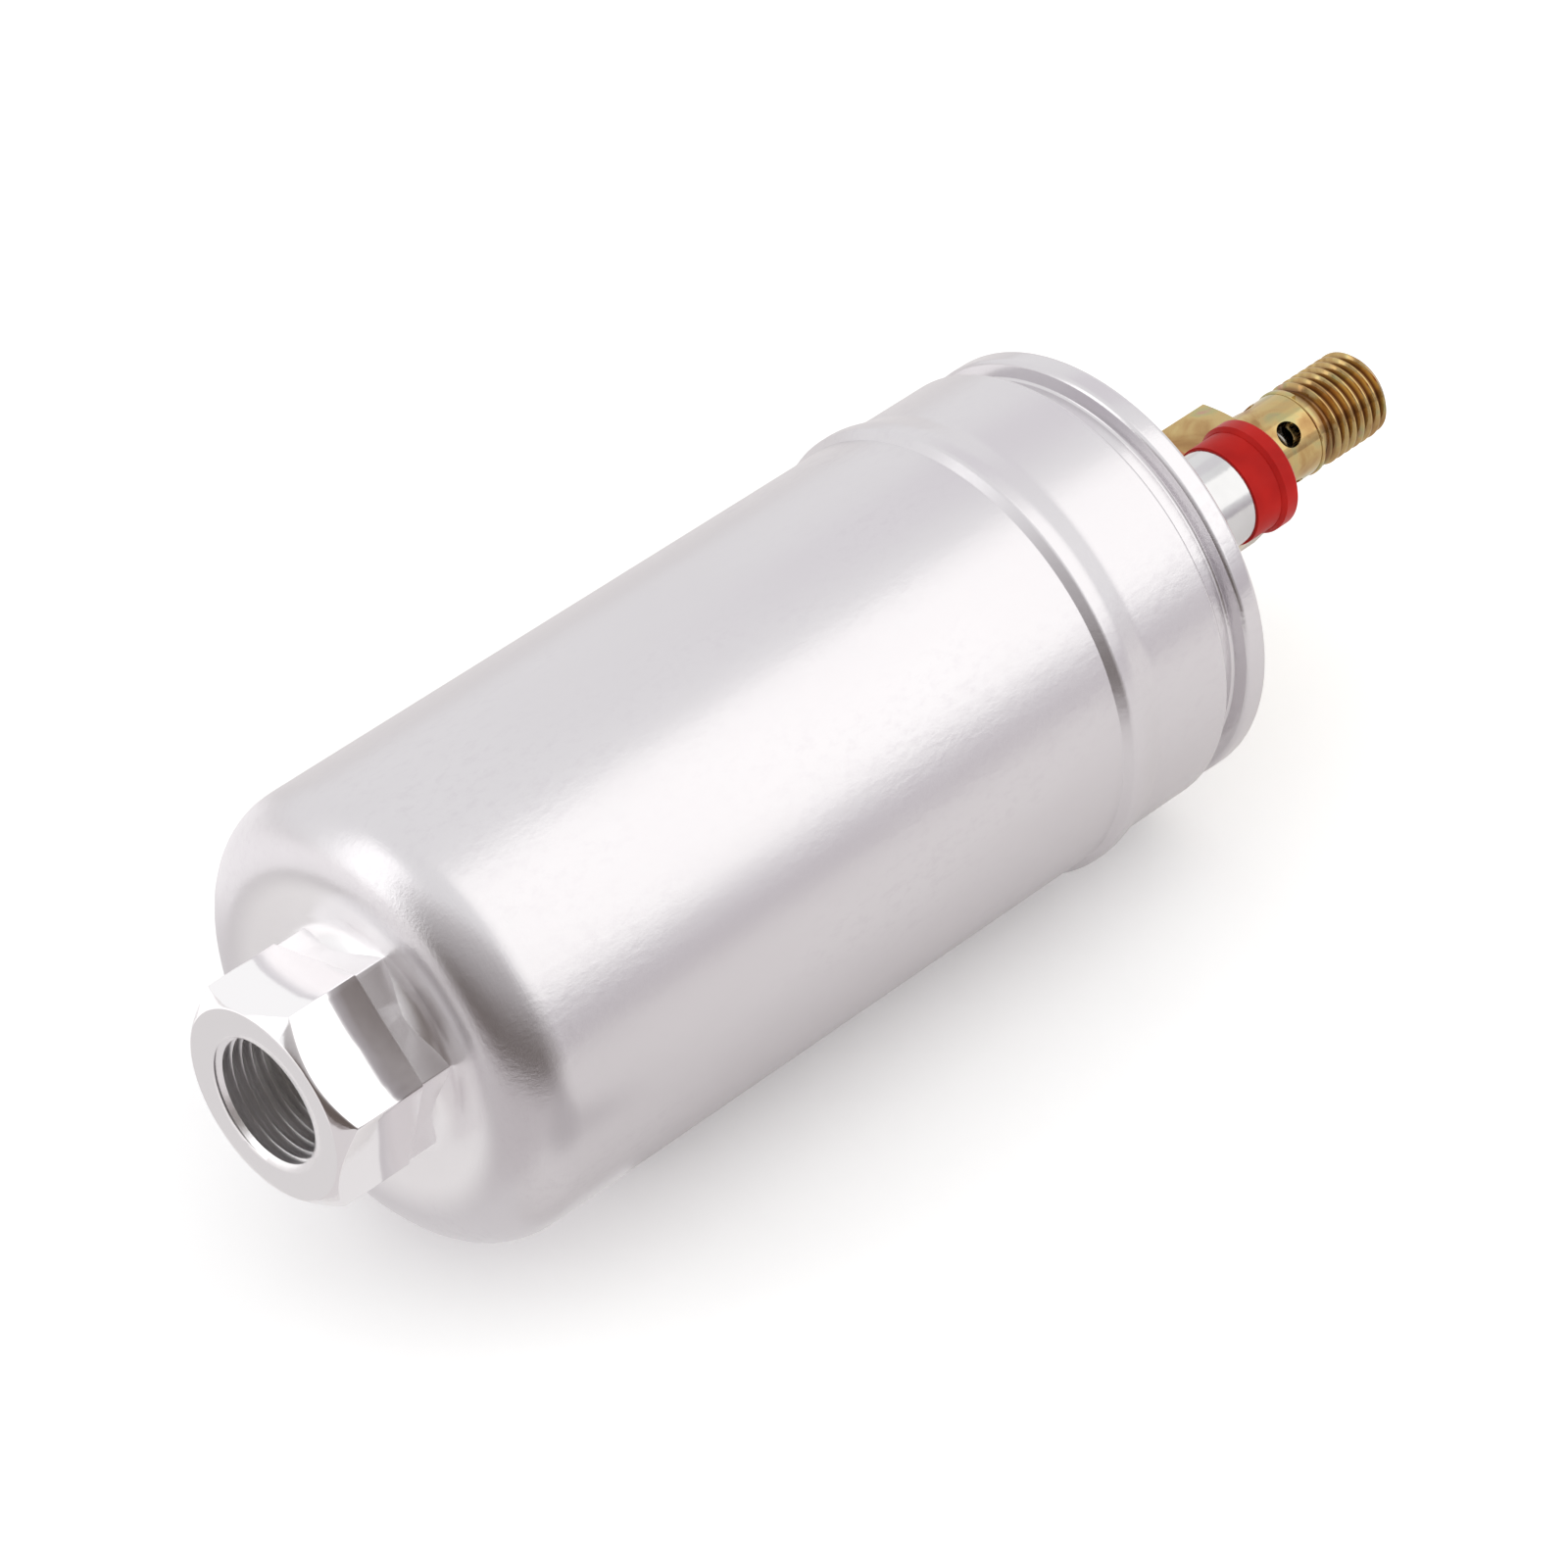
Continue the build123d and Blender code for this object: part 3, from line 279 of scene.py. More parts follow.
card("near_sheet", Matrix.Translation((-0.0465, 0.0225, sheet_height)), 0.043, 0.095,
     (0.0, 0.82, 0.80, 0.80))
card("white_sheet", Matrix.Translation((-0.22, 0.195, sheet_height)), 0.44, 0.27,
     (0.0, 1.15, 1.13, 1.13))
long_place = Matrix.Translation((0.48, 0, 0)) @ standing((0, -0.56, 0.83), 0.60, (1, 0, 0))
soft_box("long_soft_box", long_place, 0.84, 0.79, 0.46, (1.0, 0.99, 0.93))
soft_box("narrow_soft_box", standing((-0.78, 0.47, 0.42), 0.70, (0.37, -0.05, 0.89)), 0.80, 0.30,
         0.70, (1.0, 1.0, 0.98))

# Casing: one aluminium extrusion, turned at its shoulder and rolled at its rear end.
# The inlet hexagon is milled from the same piece, its bore is tapped M18 x 1.5, and the lip is
# rolled over the end cover.
mm = 0.001
barrel_radius = 30.0 * mm
wall = 1.7 * mm
barrel_length = 89.55 * mm
shoulder_radius = 7.5 * mm
dish_tilt = radians(16.6)
hex_flats = 26.0 * mm
hex_turn = radians(42.2)
hex_rear_inset = 0.3 * mm
hex_front_length = 12.1 * mm
hex_rear_length = 5.3 * mm
hex_face_radius = 12.7 * mm
hex_face_chamfer_length = 4.0 * mm
hex_overlap = 0.5 * mm
hex_edge = 0.14 * mm
root_radius = 2.6 * mm
root_gap = 0.1 * mm
bead_height = 0.95 * mm
bead_set_back = 0.35 * mm
bead_rise = 1.2 * mm
bead_crown = 1.75 * mm
bead_fall = 3.6 * mm
bead_foot_round = 0.25 * mm
bead_front_round = 1.0 * mm
bead_rear_round = 5.0 * mm
tail_length = 12.05 * mm
crimp_slope = 1.2 * mm
crimp_width = 2.6 * mm
crimp_depth = 2.6 * mm
crimp_flank = 0.7 * mm
crimp_round = 0.5 * mm
rim_width = 3.2 * mm
rim_radius = 29.6 * mm
rim_round = 0.8 * mm
lip_thickness = 1.5 * mm
lip_reach = 2.8 * mm
front_wall = 2.2 * mm
cavity_corner = 4.5 * mm
inlet_radius = 9.0 * mm
inlet_pitch = 1.5 * mm
inlet_depth = 13.5 * mm
mouth_overrun = 0.3 * mm
mouth_widening = 0.65 * mm
mouth_depth = 0.6 * mm
tap_runout = 0.8 * mm
tap_overrun = 0.3 * mm
tap_lead = 1.5
strainer_recess = 8.2 * mm
strainer_recess_depth = 14.5 * mm
passage_radius = 7.2 * mm
casing_steps = 192
bore_steps = 128

shoulder_run = shoulder_radius * (1 + sin(dish_tilt)) / cos(dish_tilt)
shoulder_corner = -barrel_length / 2 - shoulder_run
hex_root = hex_flats / 2 - hex_rear_inset - root_gap
dish_bottom = shoulder_corner + (barrel_radius - hex_root) * tan(dish_tilt)
inlet_face = dish_bottom - hex_front_length - hex_rear_length
bead_start = barrel_length / 2 + bead_set_back
crown_start = bead_start + bead_rise
crown_end = crown_start + bead_crown
bead_end = crown_end + bead_fall
tail_end = bead_end + tail_length
crimp_start = tail_end + crimp_slope
crimp_end = crimp_start + crimp_width
rim_start = crimp_end + crimp_flank
rim_end = rim_start + rim_width
crimp_radius = barrel_radius - crimp_depth
cavity_front = dish_bottom + front_wall
hex_corner = hex_flats / 2 / cos(pi / 6)


def rounded(corners, steps=8):
    """An outline of (x, r) points from corners (x, r, rounding), each rounding made an arc."""
    outline = []
    count = len(corners)
    for index, (x, r, rounding) in enumerate(corners):
        corner = Vector((x, r))
        if not rounding:
            outline.append(corner)
            continue
        before = (Vector(corners[index - 1][:2]) - corner).normalized()
        after = (Vector(corners[(index + 1) % count][:2]) - corner).normalized()
        half = before.angle(after) / 2
        centre = corner + (before + after).normalized() * (rounding / sin(half))
        start = corner + before * (rounding / tan(half)) - centre
        sweep = start.angle_signed(corner + after * (rounding / tan(half)) - centre)
        for step in range(steps + 1):
            outline.append(centre + Matrix.Rotation(-sweep * step / steps, 2) @ start)
    return outline


def turned(name, outline, steps=96, travel=0.0, turns=1.0):
    """Turn an outline of (x, r) points about the X axis, or along a helix, into a closed piece."""
    shape = bmesh.new()
    corners = [shape.verts.new((x, 0, r)) for x, r in outline]
    edges = [shape.edges.new(pair) for pair in zip(corners, corners[1:] + corners[:1])]
    if travel:
        first = shape.faces.new(corners)
        bmesh.ops.spin(shape, geom=[first] + edges + corners, cent=(0, 0, 0), axis=(1, 0, 0),
                       dvec=(travel / steps, 0, 0), angle=2 * pi * turns,
                       steps=round(steps * turns), use_merge=False, use_duplicate=False)
    else:
        bmesh.ops.spin(shape, geom=edges + corners, cent=(0, 0, 0), axis=(1, 0, 0),
                       dvec=(0, 0, 0), angle=2 * pi, steps=steps, use_merge=True,
                       use_duplicate=False)
    bmesh.ops.remove_doubles(shape, verts=shape.verts, dist=1e-7)
    bmesh.ops.recalc_face_normals(shape, faces=shape.faces)
    return piece_of(name, shape)


def piece_of(name, shape):
    """Close the bmesh and put it in the scene as a new piece."""
    mesh = bpy.data.meshes.new(name)
    shape.to_mesh(mesh)
    shape.free()
    piece = bpy.data.objects.new(name, mesh)
    bpy.context.scene.collection.objects.link(piece)
    return piece


def hexagon(name, start, length, flats, turn):
    """A sharp hexagon bar along X."""
    shape = bmesh.new()
    place = Matrix.Translation((start + length / 2, 0, 0)) @ Matrix.Rotation(turn, 4, "X")
    bmesh.ops.create_cone(shape, cap_ends=True, segments=6, radius1=flats / 2 / cos(pi / 6),
                          radius2=flats / 2 / cos(pi / 6), depth=length,
                          matrix=place @ Matrix.Rotation(pi / 2, 4, "Y"))
    return piece_of(name, shape)


def settle(piece, kind, **settings):
    """Add a modifier of a kind with its settings, and make its result the piece's mesh."""
    modifier = piece.modifiers.new(kind.lower(), kind)
    for name, setting in settings.items():
        setattr(modifier, name, setting)
    bpy.context.view_layer.update()
    seen_now = piece.evaluated_get(bpy.context.evaluated_depsgraph_get())
    mesh = bpy.data.meshes.new_from_object(seen_now)
    piece.modifiers.clear()
    piece.data = mesh


def combine(piece, tool, operation):
    """Join, cut or trim a piece with a tool piece, which is used up."""
    settle(piece, "BOOLEAN", operation=operation, solver="EXACT", object=tool)
    bpy.data.objects.remove(tool)


def break_edges(piece, width, angle=30.0):
    """Break a piece's sharp edges by a small round bevel."""
    settle(piece, "BEVEL", limit_method="ANGLE", angle_limit=radians(angle), width=width,
           segments=2, profile=0.5)


def dress(piece, finish, stands_for, smooth=32.0):
    """Give a finished piece its shading, its material, and the nodes that it stands for."""
    piece.data.materials.clear()
    piece.data.materials.append(finish.material)
    piece.data.shade_smooth()
    piece.data.set_sharp_from_angle(angle=radians(smooth))
    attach(piece, "pump_body")
    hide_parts(*stands_for)


thread_depth_share = 0.5413


def thread_cutter(name, start, end, radius, pitch, inside, steps=64):
    """A helical cutter for a 60 degree thread, pointed outwards for a bore, inwards for a bolt."""
    height = thread_depth_share * pitch
    overrun = 0.3 * pitch
    flank = (height + overrun) * tan(pi / 6)
    flat = pitch / 16 if inside else pitch / 8
    if inside:
        outline = [(-flat, radius), (flat, radius),
                   (flat + flank, radius - height - overrun),
                   (-flat - flank, radius - height - overrun)]
    else:
        outline = [(-flat, radius - height), (flat, radius - height),
                   (flat + flank, radius + overrun), (-flat - flank, radius + overrun)]
    turns = (end - start) / pitch
    return turned(name, [(start + x, r) for x, r in outline], steps, pitch, turns)


outside = rounded([
    (dish_bottom - hex_rear_length, hex_root, 0),
    (dish_bottom, hex_root, root_radius),
    (shoulder_corner, barrel_radius, shoulder_radius),
    (bead_start, barrel_radius, bead_foot_round),
    (crown_start, barrel_radius + bead_height, bead_front_round),
    (crown_end, barrel_radius + bead_height, bead_rear_round),
    (bead_end, barrel_radius, bead_rear_round),
    (tail_end, barrel_radius, crimp_round),
    (crimp_start, crimp_radius, crimp_round),
    (crimp_end, crimp_radius, crimp_round),
    (rim_start, rim_radius, rim_round),
    (rim_end, rim_radius, rim_round),
    (rim_end, rim_radius - wall - lip_reach, 0),
    (rim_end - lip_thickness, rim_radius - wall - lip_reach, 0),
    (rim_end - lip_thickness, rim_radius - wall, 0),
    (rim_start, rim_radius - wall, 0),
    (crimp_end, crimp_radius - wall, 0),
    (crimp_start, crimp_radius - wall, 0),
    (tail_end, barrel_radius - wall, 0),
    (bead_end, barrel_radius - wall, 0),
    (crown_end, barrel_radius - wall + bead_height, 0),
    (crown_start, barrel_radius - wall + bead_height, 0),
    (bead_start, barrel_radius - wall, 0),
    (cavity_front, barrel_radius - wall, cavity_corner),
    (cavity_front, passage_radius, 0),
    (dish_bottom - hex_rear_length, passage_radius, 0),
], steps=12)
casing = turned("drawn_casing", outside, casing_steps)

blank_reach = 2 * hex_corner - hex_face_radius
hexagon_front = hexagon("hexagon_front", inlet_face, hex_front_length, hex_flats, hex_turn)
blank = turned("hexagon_blank", [
    (inlet_face, 0), (inlet_face, hex_face_radius),
    (inlet_face + hex_face_chamfer_length, blank_reach),
    (inlet_face + hex_front_length, blank_reach), (inlet_face + hex_front_length, 0)])
combine(hexagon_front, blank, "INTERSECT")
break_edges(hexagon_front, hex_edge)
hexagon_rear = hexagon("hexagon_rear", inlet_face + hex_front_length - hex_overlap,
                       hex_rear_length + hex_overlap, hex_flats - 2 * hex_rear_inset, hex_turn)
break_edges(hexagon_rear, hex_edge)
combine(hexagon_front, hexagon_rear, "UNION")
combine(casing, hexagon_front, "UNION")

tap_depth = inlet_depth - tap_runout
crest = inlet_radius - thread_depth_share * inlet_pitch
bore = turned("bore", [
    (inlet_face - mouth_overrun, 0), (inlet_face - mouth_overrun, inlet_radius + mouth_widening),
    (inlet_face + mouth_depth, crest),
    (inlet_face + tap_depth, crest), (inlet_face + tap_depth, inlet_radius),
    (inlet_face + inlet_depth, inlet_radius), (inlet_face + inlet_depth, strainer_recess),
    (inlet_face + strainer_recess_depth, strainer_recess),
    (inlet_face + strainer_recess_depth, passage_radius),
    (cavity_front + mm, passage_radius), (cavity_front + mm, 0)], bore_steps)
combine(casing, bore, "DIFFERENCE")
tap = thread_cutter("tap", inlet_face - tap_lead * inlet_pitch,
                    inlet_face + tap_depth + tap_overrun, inlet_radius, inlet_pitch, inside=True)
combine(casing, tap, "DIFFERENCE")

# Its skin is drawn along the axis and finely mottled, the shoulder is brushed round it, and the
# hexagon is milled bright. Round the inlet, the dish and the hexagon get a paler colour, which is a
# painted brighter reflection.
satin = Finish("satin_aluminium", Metallic=1.0)
station = satin.place.axis("X")
from_axis = satin.place.scaled((0.0, 1.0, 1.0)).length()
grain = satin.place.scaled((80.0, 2400.0, 2400.0)).noise(1.0, detail=4.0, roughness=0.65)
rolled = satin.place.scaled((2600.0, 140.0, 140.0)).noise(1.0, detail=3.0, roughness=0.6)
mottle = satin.place.scaled((520.0, 900.0, 900.0)).noise(1.0, detail=5.0, roughness=0.65)
cloud = satin.place.scaled((20.0, 60.0, 60.0)).noise(1.0, detail=4.0)
patches = cloud.above(0.40, 0.62)
nick = satin.place.noise(420.0, detail=1.0).above(0.74, 0.78)

barrel_front = -barrel_length / 2
hexagon_rear_end = dish_bottom - hex_rear_length
past_barrel = station.above(barrel_front, barrel_front - 3 * mm)
on_body = 1.0 - station.above(dish_bottom - 3 * mm, dish_bottom - 5 * mm)
on_shoulder = past_barrel * on_body
milled = station.above(hexagon_rear_end + 0.3 * mm, hexagon_rear_end)
in_bore = from_axis.above(inlet_radius + 0.3 * mm, inlet_radius)
# Painted highlight: a paler colour on the dish and the hexagon round the inlet stands in for
# brighter reflected light there.
painted_inlet_highlight = from_axis.above(24 * mm, 19 * mm) * past_barrel
on_crimp = station.above(tail_end - 0.8 * mm, tail_end + 0.4 * mm)

pale = cloud.ramp((0.35, (0.690, 0.668, 0.688)), (0.65, (0.712, 0.692, 0.712)))
worn = (mottle.above(0.46, 0.70) * on_body * patches * 0.30).blend(pale, (0.60, 0.565, 0.60))
drawn_roughness = 0.25 + 0.06 * mottle - 0.09 * on_crimp
milled_roughness = 0.085
satin.vary(
    Base_Color=painted_inlet_highlight.blend(worn, (0.93, 0.915, 0.925)),
    Roughness=drawn_roughness * (1.0 - milled) + milled_roughness * milled
    + in_bore * 0.16 + 0.03 * grain,
    Normal=(grain * (0.4 + on_shoulder * 1.6) + rolled * (0.15 + on_shoulder * 1.2)
            + mottle * on_body * (1.3 + 3.0 * patches) - nick * on_body * 0.4).bump(1e-5))
dress(casing, satin, stands_for=["casing"])

# Inlet strainer: a woven white cup, moulded in one piece, that lies on a step behind the thread.
woven = Finish("white_mesh", Metallic=0.0)
threads = woven.place.node("ShaderNodeTexVoronoi", {"feature": "DISTANCE_TO_EDGE"},
                           {"Vector": woven.place, "Scale": 2400.0})
woven.vary(Base_Color=threads.above(0.05, 0.3).blend((0.42, 0.41, 0.38), (0.80, 0.79, 0.75)),
           Roughness=0.5 + 0.2 * threads, Normal=threads.bump(1e-4))


def dress_node(node, finish):
    """Give a carried-over node its own material."""
    piece = frame["nodes"][node]
    piece.data.materials.clear()
    piece.data.materials.append(finish.material)


dress_node("inlet_strainer", woven)

# Sealing rings: black fuel-proof rubber, moulded, with a dusty bloom.
rubber = Finish("black_rubber")
bloom = rubber.place.noise(420.0, detail=4.0)
rubber.vary(Base_Color=bloom.ramp((0.3, (0.018, 0.018, 0.020)), (0.75, (0.045, 0.045, 0.047))),
            Roughness=0.55 + 0.25 * bloom, Normal=bloom.bump(8e-6))
for node in ("stack_sealing_ring", "cover_sealing_ring"):
    dress_node(node, rubber)

# Pump stack: turned aluminium plates with fine rings from the lathe, round a ground sintered ring.
turned_plate = Finish("turned_aluminium", Metallic=1.0)
lathe = turned_plate.place.scaled((9000.0, 300.0, 300.0)).noise(1.0, detail=3.0)
pits = turned_plate.place.noise(1500.0, detail=3.0).above(0.62, 0.75)
turned_plate.vary(Base_Color=lathe.ramp((0.3, (0.60, 0.60, 0.61)), (0.7, (0.72, 0.72, 0.73))),
                  Roughness=0.30 + 0.15 * lathe, Normal=(lathe * 0.5 - pits).bump(5e-6))
for node in ("inlet_plate", "middle_plate", "outlet_plate"):
    dress_node(node, turned_plate)

sintered = Finish("sintered_iron", Metallic=1.0)
pores = sintered.place.noise(3200.0, detail=4.0).above(0.55, 0.70)
oil = sintered.place.noise(160.0, detail=3.0)
sintered.vary(Base_Color=oil.ramp((0.3, (0.22, 0.22, 0.235)), (0.75, (0.34, 0.335, 0.33))),
              Roughness=0.32 + 0.22 * oil, Normal=(1.0 - pores).bump(1.2e-5))
for node in ("eccentric_ring", "inner_gear", "outer_gear"):
    dress_node(node, sintered)

# Black plastic: the impeller, the brush card and the inner washer, moulded with glass fibre.
moulded = Finish("black_plastic")
flow = moulded.place.scaled((300.0, 900.0, 900.0)).noise(1.0, detail=4.0, distortion=0.4)
moulded.vary(Base_Color=flow.ramp((0.3, (0.022, 0.022, 0.024)), (0.7, (0.050, 0.050, 0.054))),
             Roughness=0.38 + 0.22 * flow, Normal=flow.bump(1.2e-5))
for node in ("impeller", "brush_card", "inner_insulating_washer"):
    dress_node(node, moulded)

# Steel inside the pump: ground shaft, flux ring, magnet clips, armature core and relief ball.
ground = Finish("ground_steel", Metallic=1.0)
lines = ground.place.scaled((7000.0, 500.0, 500.0)).noise(1.0, detail=3.0)
tarnish = ground.place.noise(210.0, detail=4.0)
ground.vary(Base_Color=tarnish.ramp((0.3, (0.40, 0.40, 0.415)), (0.75, (0.56, 0.55, 0.54))),
            Roughness=0.20 + 0.18 * tarnish + 0.08 * lines, Normal=lines.bump(3e-6))
for node in ("shaft", "flux_ring", "magnet_clip_upper", "magnet_clip_lower", "relief_ball",
             "armature_core"):
    dress_node(node, ground)

# Bushes: oil-soaked sintered bronze.
bronze = Finish("sintered_bronze", Metallic=1.0)
open_pores = bronze.place.noise(2600.0, detail=4.0).above(0.55, 0.70)
patina = bronze.place.noise(300.0, detail=3.0)
bronze.vary(Base_Color=patina.ramp((0.3, (0.42, 0.25, 0.12)), (0.75, (0.62, 0.42, 0.23))),
            Roughness=0.35 + 0.2 * patina, Normal=(1.0 - open_pores).bump(1e-5))
for node in ("front_bush", "middle_bush", "rear_bush"):
    dress_node(node, bronze)

# Magnets: fired ferrite, matt and nearly black, with fine grain.
ferrite = Finish("ferrite")
fired = ferrite.place.noise(1400.0, detail=5.0)
ferrite.vary(Base_Color=fired.ramp((0.3, (0.030, 0.030, 0.033)), (0.7, (0.075, 0.073, 0.072))),
             Roughness=0.5 + 0.3 * fired, Normal=fired.bump(1.5e-5))
for node in ("magnet_front", "magnet_rear"):
    dress_node(node, ferrite)

# Windings, commutator, chokes: enamelled wire laid side by side, and drawn copper segments.
copper = Finish("enamelled_copper", Metallic=1.0)
wound = copper.place.scaled((2600.0, 420.0, 420.0)).noise(1.0, detail=3.0, distortion=0.5)
varnish = copper.place.noise(140.0, detail=3.0)
copper.vary(Base_Color=varnish.ramp((0.3, (0.42, 0.15, 0.06)), (0.75, (0.66, 0.30, 0.15))),
            Roughness=0.25 + 0.25 * wound, Normal=wound.bump(1e-4))
for node in ("armature_windings", "commutator", "choke_front", "choke_rear"):
    dress_node(node, copper)

# Brushes: pressed carbon in drawn brass tubes. The check poppet is brass too.
carbon = Finish("pressed_carbon")
grit = carbon.place.noise(2400.0, detail=5.0)
carbon.vary(Base_Color=grit.ramp((0.3, (0.020, 0.020, 0.022)), (0.7, (0.070, 0.068, 0.068))),
            Roughness=0.5 + 0.25 * grit, Normal=grit.bump(1e-5))
brass = Finish("drawn_brass", Metallic=1.0)
drawn = brass.place.scaled((2400.0, 2400.0, 120.0)).noise(1.0, detail=3.0)
brass.vary(Base_Color=drawn.ramp((0.3, (0.62, 0.43, 0.16)), (0.7, (0.78, 0.60, 0.28))),
           Roughness=0.22 + 0.16 * drawn, Normal=drawn.bump(4e-6))
for node, finish in (("brush_upper", carbon), ("brush_lower", carbon), ("brush_tube_upper", brass),
                     ("brush_tube_lower", brass), ("check_poppet", brass)):
    dress_node(node, finish)

# Bright screws, nuts and washers: steel, bright zinc plate with a faint blue cast.
zinc = Finish("bright_zinc", Metallic=1.0)
bluing = zinc.place.noise(380.0, detail=3.0)
zinc.vary(Base_Color=bluing.ramp((0.3, (0.60, 0.61, 0.64)), (0.75, (0.73, 0.72, 0.70))),
          Roughness=0.18 + 0.16 * bluing, Normal=bluing.bump(6e-6))
for node in ("stack_screws", "positive_nut", "positive_washer", "negative_nut", "negative_washer"):
    dress_node(node, zinc)

# Terminal studs: their threads are rolled, M5 on the positive one and M4 on the negative one.
stud_thread_length = 12.0 * mm
stud_steps = 32


def copied(name, node):
    """A new piece from a node's shape, with its loose triangles joined."""
    shape = bmesh.new()
    shape.from_mesh(frame["nodes"][node].data)
    bmesh.ops.remove_doubles(shape, verts=shape.verts, dist=1e-7)
    bmesh.ops.recalc_face_normals(shape, faces=shape.faces)
    bmesh.ops.dissolve_limit(shape, angle_limit=radians(0.5), verts=shape.verts, edges=shape.edges)
    return piece_of(name, shape)


for node, stud_radius, stud_pitch in (("positive_stud", 2.5 * mm, 0.8 * mm),
                                      ("negative_stud", 2.0 * mm, 0.7 * mm)):
    low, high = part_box(node)
    stud = copied("threaded_" + node, node)
    die = thread_cutter("stud_die", high.x - stud_thread_length, high.x + stud_pitch, stud_radius,
                        stud_pitch, inside=False, steps=stud_steps)
    die.data.transform(Matrix.Translation((0, (low.y + high.y) / 2, (low.z + high.z) / 2)))
    combine(stud, die, "DIFFERENCE")
    dress(stud, zinc, stands_for=[node])

# Springs: wound steel wire.
for node, joint, direction, travel in (
        ("check_spring", "check_valve_slide", (1, 0, 0), 2.0 * mm),
        ("relief_spring", "relief_valve_slide", (-1, 0, 0), 1.5 * mm),
        ("brush_spring_upper", "upper_brush_slide", (0, 0, 1), 2.0 * mm),
        ("brush_spring_lower", "lower_brush_slide", (0, 0, -1), 2.0 * mm)):
    low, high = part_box(node)
    spring = copied("wound_" + node, node)
    dress(spring, ground, smooth=60.0, stands_for=[node])
    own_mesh(spring)

# End cover: die-cast aluminium with turned bosses and a faintly grainy skin.
cast = Finish("cast_aluminium", Metallic=1.0)
skin = cast.place.noise(1300.0, detail=5.0, roughness=0.6)
shade = cast.place.noise(120.0, detail=3.0)
crimped_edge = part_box("casing")[1].x
on_boss = cast.place.axis("X").above(crimped_edge, crimped_edge + mm)
cast.vary(Base_Color=shade.ramp((0.3, (0.62, 0.615, 0.62)), (0.75, (0.72, 0.715, 0.72))),
          Roughness=0.26 + 0.16 * skin - 0.18 * on_boss, Normal=skin.bump(1.2e-5))
dress_node("end_cover", cast)

# Red collar: moulded insulating plastic on the positive terminal, glossy, with soft sink marks.
red = Finish("red_plastic", Specular_IOR_Level=0.14)
sink = red.place.noise(210.0, detail=2.0)
speck = red.place.noise(2600.0, detail=3.0)
red.vary(Base_Color=sink.ramp((0.3, (0.42, 0.006, 0.004)), (0.75, (0.56, 0.012, 0.007))),
         Roughness=0.30 + 0.12 * speck, Normal=(sink * 3.0 + speck * 0.2).bump(2e-5))
collar_edge = 0.2 * mm
collar = copied("moulded_collar", "positive_insulator")
break_edges(collar, collar_edge, angle=50.0)
dress(collar, red, stands_for=["positive_insulator"])

# Copper washer between the cover's hub and the outlet valve.
dress_node("outlet_sealing_washer", copper)

# Outlet valve body: turned steel, yellow passivated zinc, with a hexagon, four cross holes and an
# M12 x 1.5 thread. The passivate runs from tan to yellow, pink and green.
valve_flats = 17.0 * mm
valve_hex_length = 10.0 * mm
valve_hex_chamfer = 0.8 * mm
valve_hex_shoulder = 0.4 * mm
valve_hex_clearance = 0.2 * mm
valve_hex_sink = 0.5 * mm
valve_edge = 0.15 * mm
valve_shank_radius = 5.8 * mm
valve_shank_length = 10.6 * mm
valve_collar = 0.9 * mm
valve_collar_round = 0.2 * mm
valve_radius = 6.0 * mm
valve_pitch = 1.5 * mm
valve_thread_length = 12.0 * mm
valve_relief_depth = 0.9 * mm
valve_relief_length = 0.9 * mm
valve_relief_rise = 0.6 * mm
valve_end_chamfer = 0.8 * mm
valve_die_lead = 0.2 * mm
valve_bore = 3.9 * mm
valve_mouth = 2.6 * mm
valve_seat_depth = 1.3 * mm
valve_end_wall = 3.6 * mm
cross_hole_radius = 1.8 * mm
cross_hole_place = 6.4 * mm
cross_hole_turn = radians(38.8)
cross_hole_steps = 32
valve_steps = 96
valve_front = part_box("outlet_valve_body")[0].x
valve_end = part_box("outlet_valve_body")[1].x
thread_start = valve_end - valve_thread_length
valve_hex_rear = thread_start - valve_collar - valve_shank_length
valve_hex_front = valve_hex_rear - valve_hex_length
valve_corner = valve_flats / 2 / cos(pi / 6)
relief_end = thread_start + valve_relief_length
valve = turned("outlet_valve", rounded([
    (valve_front, valve_mouth, 0), (valve_front, valve_radius, 0),
    (valve_hex_rear - mm, valve_radius, 0), (valve_hex_rear - mm, valve_shank_radius, 0),
    (thread_start - valve_collar, valve_shank_radius, 0),
    (thread_start - valve_collar, valve_radius, valve_collar_round),
    (thread_start, valve_radius, valve_collar_round),
    (thread_start, valve_radius - valve_relief_depth, 0),
    (relief_end, valve_radius - valve_relief_depth, 0),
    (relief_end + valve_relief_rise, valve_radius, 0),
    (valve_end - valve_end_chamfer, valve_radius, 0),
    (valve_end, valve_radius - valve_end_chamfer, 0),
    (valve_end, 0, 0), (valve_end - valve_end_wall, 0, 0),
    (valve_end - valve_end_wall, valve_bore, 0),
    (valve_hex_front + valve_seat_depth, valve_bore, 0),
    (valve_hex_front + valve_seat_depth, valve_mouth, 0)], steps=4), valve_steps)
valve_hexagon = hexagon("valve_hexagon", valve_hex_front, valve_hex_length, valve_flats, 0.0)
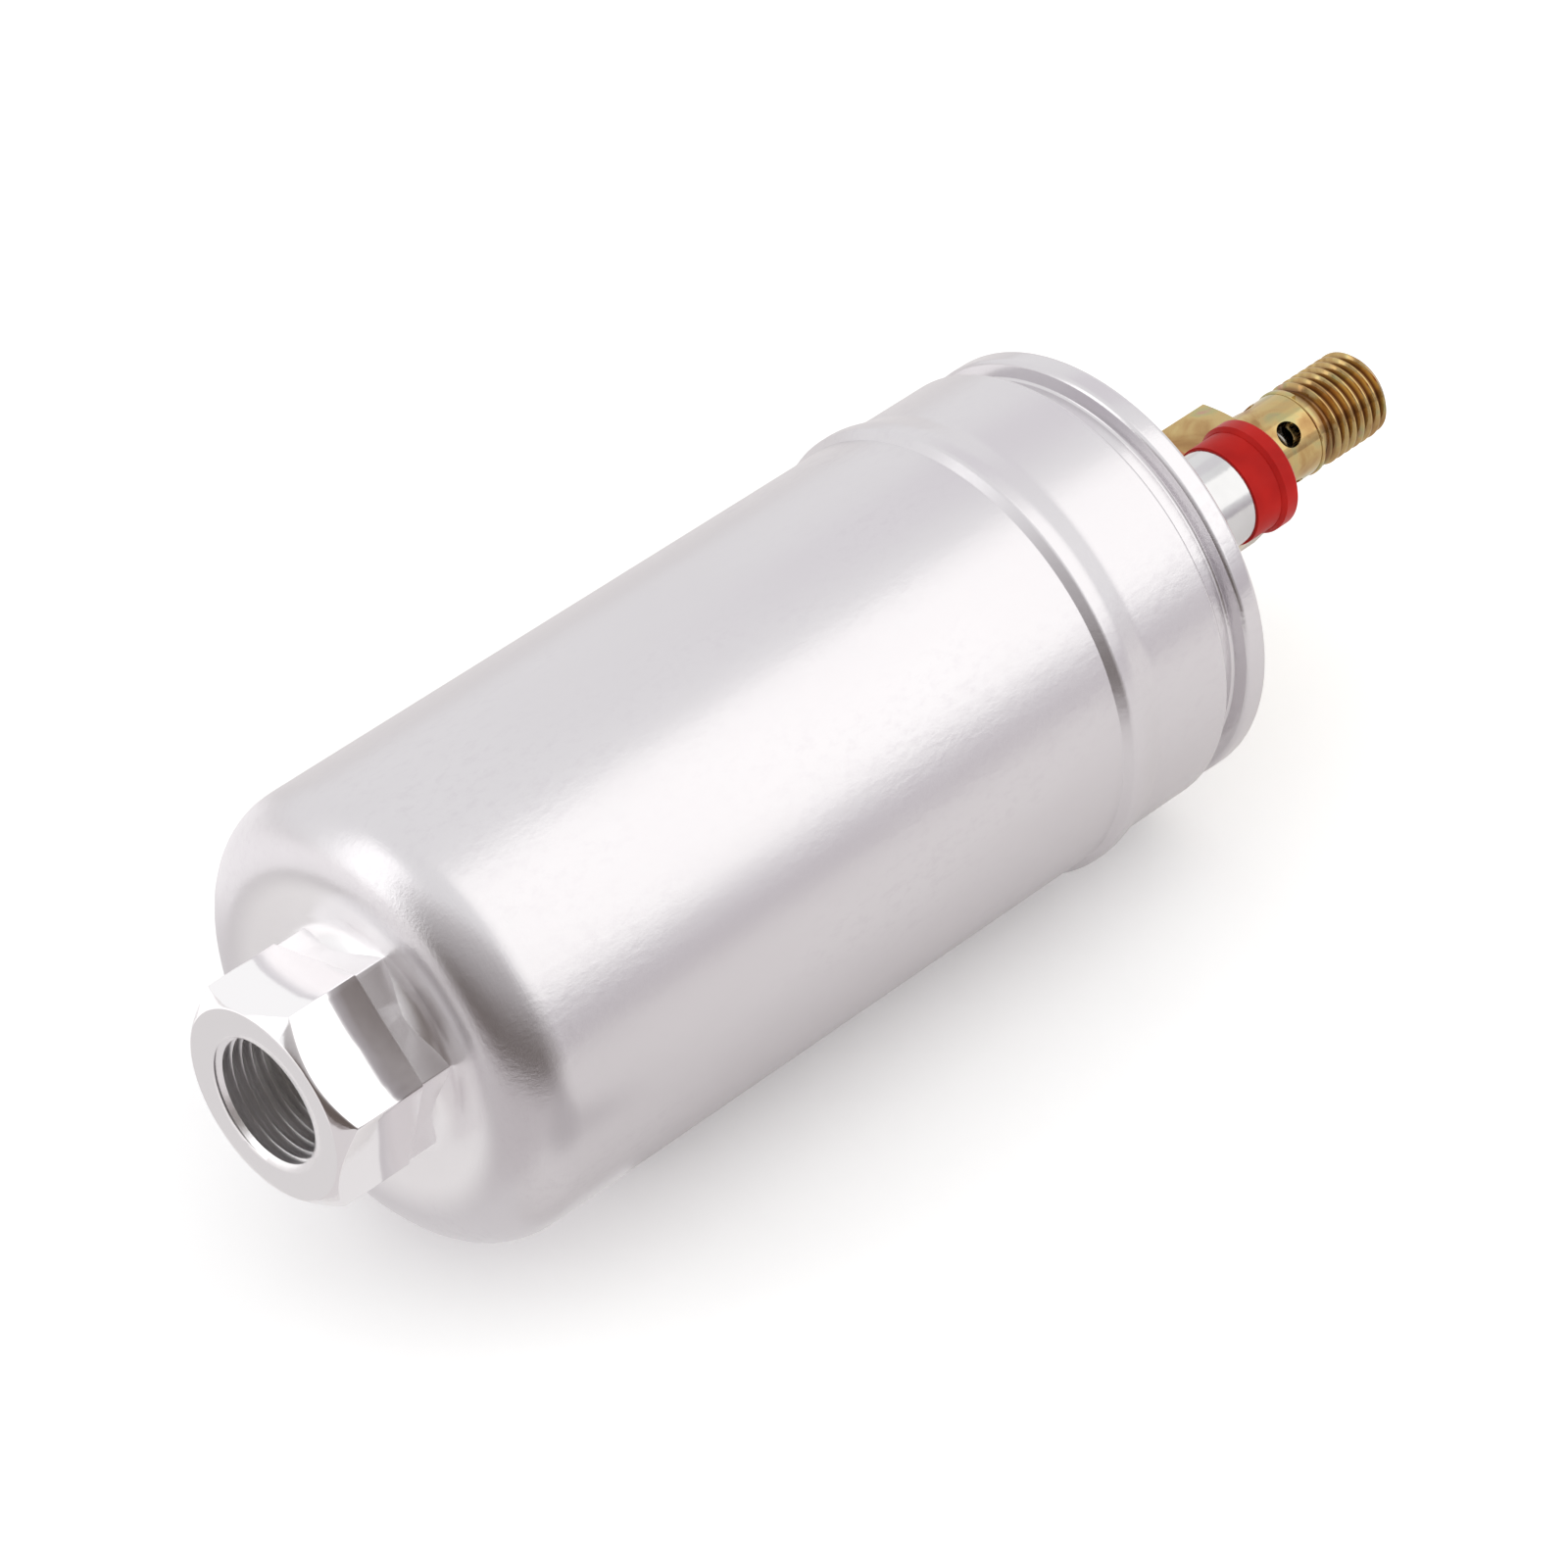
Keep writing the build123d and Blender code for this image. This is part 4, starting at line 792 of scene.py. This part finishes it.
blank = turned("valve_blank", [
    (valve_hex_front, 0), (valve_hex_front, valve_flats / 2 + valve_hex_shoulder),
    (valve_hex_front + valve_hex_chamfer, valve_corner + valve_hex_clearance),
    (valve_hex_rear - valve_hex_chamfer, valve_corner + valve_hex_clearance),
    (valve_hex_rear, valve_flats / 2), (valve_hex_rear, 0)])
combine(valve_hexagon, blank, "INTERSECT")
break_edges(valve_hexagon, valve_edge)
drill = turned("valve_drill", [
    (valve_hex_front - mm, 0), (valve_hex_front - mm, valve_radius - valve_hex_sink),
    (valve_hex_rear + mm, valve_radius - valve_hex_sink), (valve_hex_rear + mm, 0)])
combine(valve_hexagon, drill, "DIFFERENCE")
combine(valve, valve_hexagon, "UNION")
die = thread_cutter("die", thread_start - valve_die_lead, valve_end + valve_pitch, valve_radius,
                    valve_pitch, inside=False)
combine(valve, die, "DIFFERENCE")
for turn in (cross_hole_turn, cross_hole_turn + pi / 2):
    shape = bmesh.new()
    bmesh.ops.create_cone(
        shape, cap_ends=True, segments=cross_hole_steps, radius1=cross_hole_radius,
        radius2=cross_hole_radius, depth=4 * valve_radius,
        matrix=Matrix.Translation((valve_hex_rear + cross_hole_place, 0, 0))
        @ Matrix.Rotation(turn - pi / 2, 4, "X"))
    combine(valve, piece_of("cross_drill", shape), "DIFFERENCE")
passivate = Finish("yellow_zinc", Metallic=1.0)
film = passivate.place.noise(190.0, detail=4.0, distortion=0.8)
stain = passivate.place.noise(700.0, detail=4.0)
tool_marks = passivate.place.scaled((6000.0, 400.0, 400.0)).noise(1.0, detail=3.0)
on_thread = passivate.place.axis("X").above(thread_start, thread_start + mm)
from_axis = passivate.place.scaled((0.0, 1.0, 1.0)).length()
# Painted shade: the thread roots are darkened to a deep brown, standing in for the shade that falls
# in them.
painted_root_shade = on_thread * from_axis.above(valve_radius - 0.15 * mm, valve_radius - 0.75 * mm)
yellow = film.ramp((0.25, (0.34, 0.18, 0.075)), (0.42, (0.46, 0.29, 0.12)),
                   (0.55, (0.56, 0.41, 0.18)), (0.66, (0.45, 0.41, 0.20)),
                   (0.78, (0.52, 0.30, 0.23)))
passivate.vary(
    Base_Color=painted_root_shade.blend(yellow, (0.24, 0.13, 0.06)),
    Roughness=0.07 + 0.10 * stain, Normal=(tool_marks * 0.6 + stain * 0.4).bump(5e-6))
dress(valve, passivate, stands_for=["outlet_valve_body"])
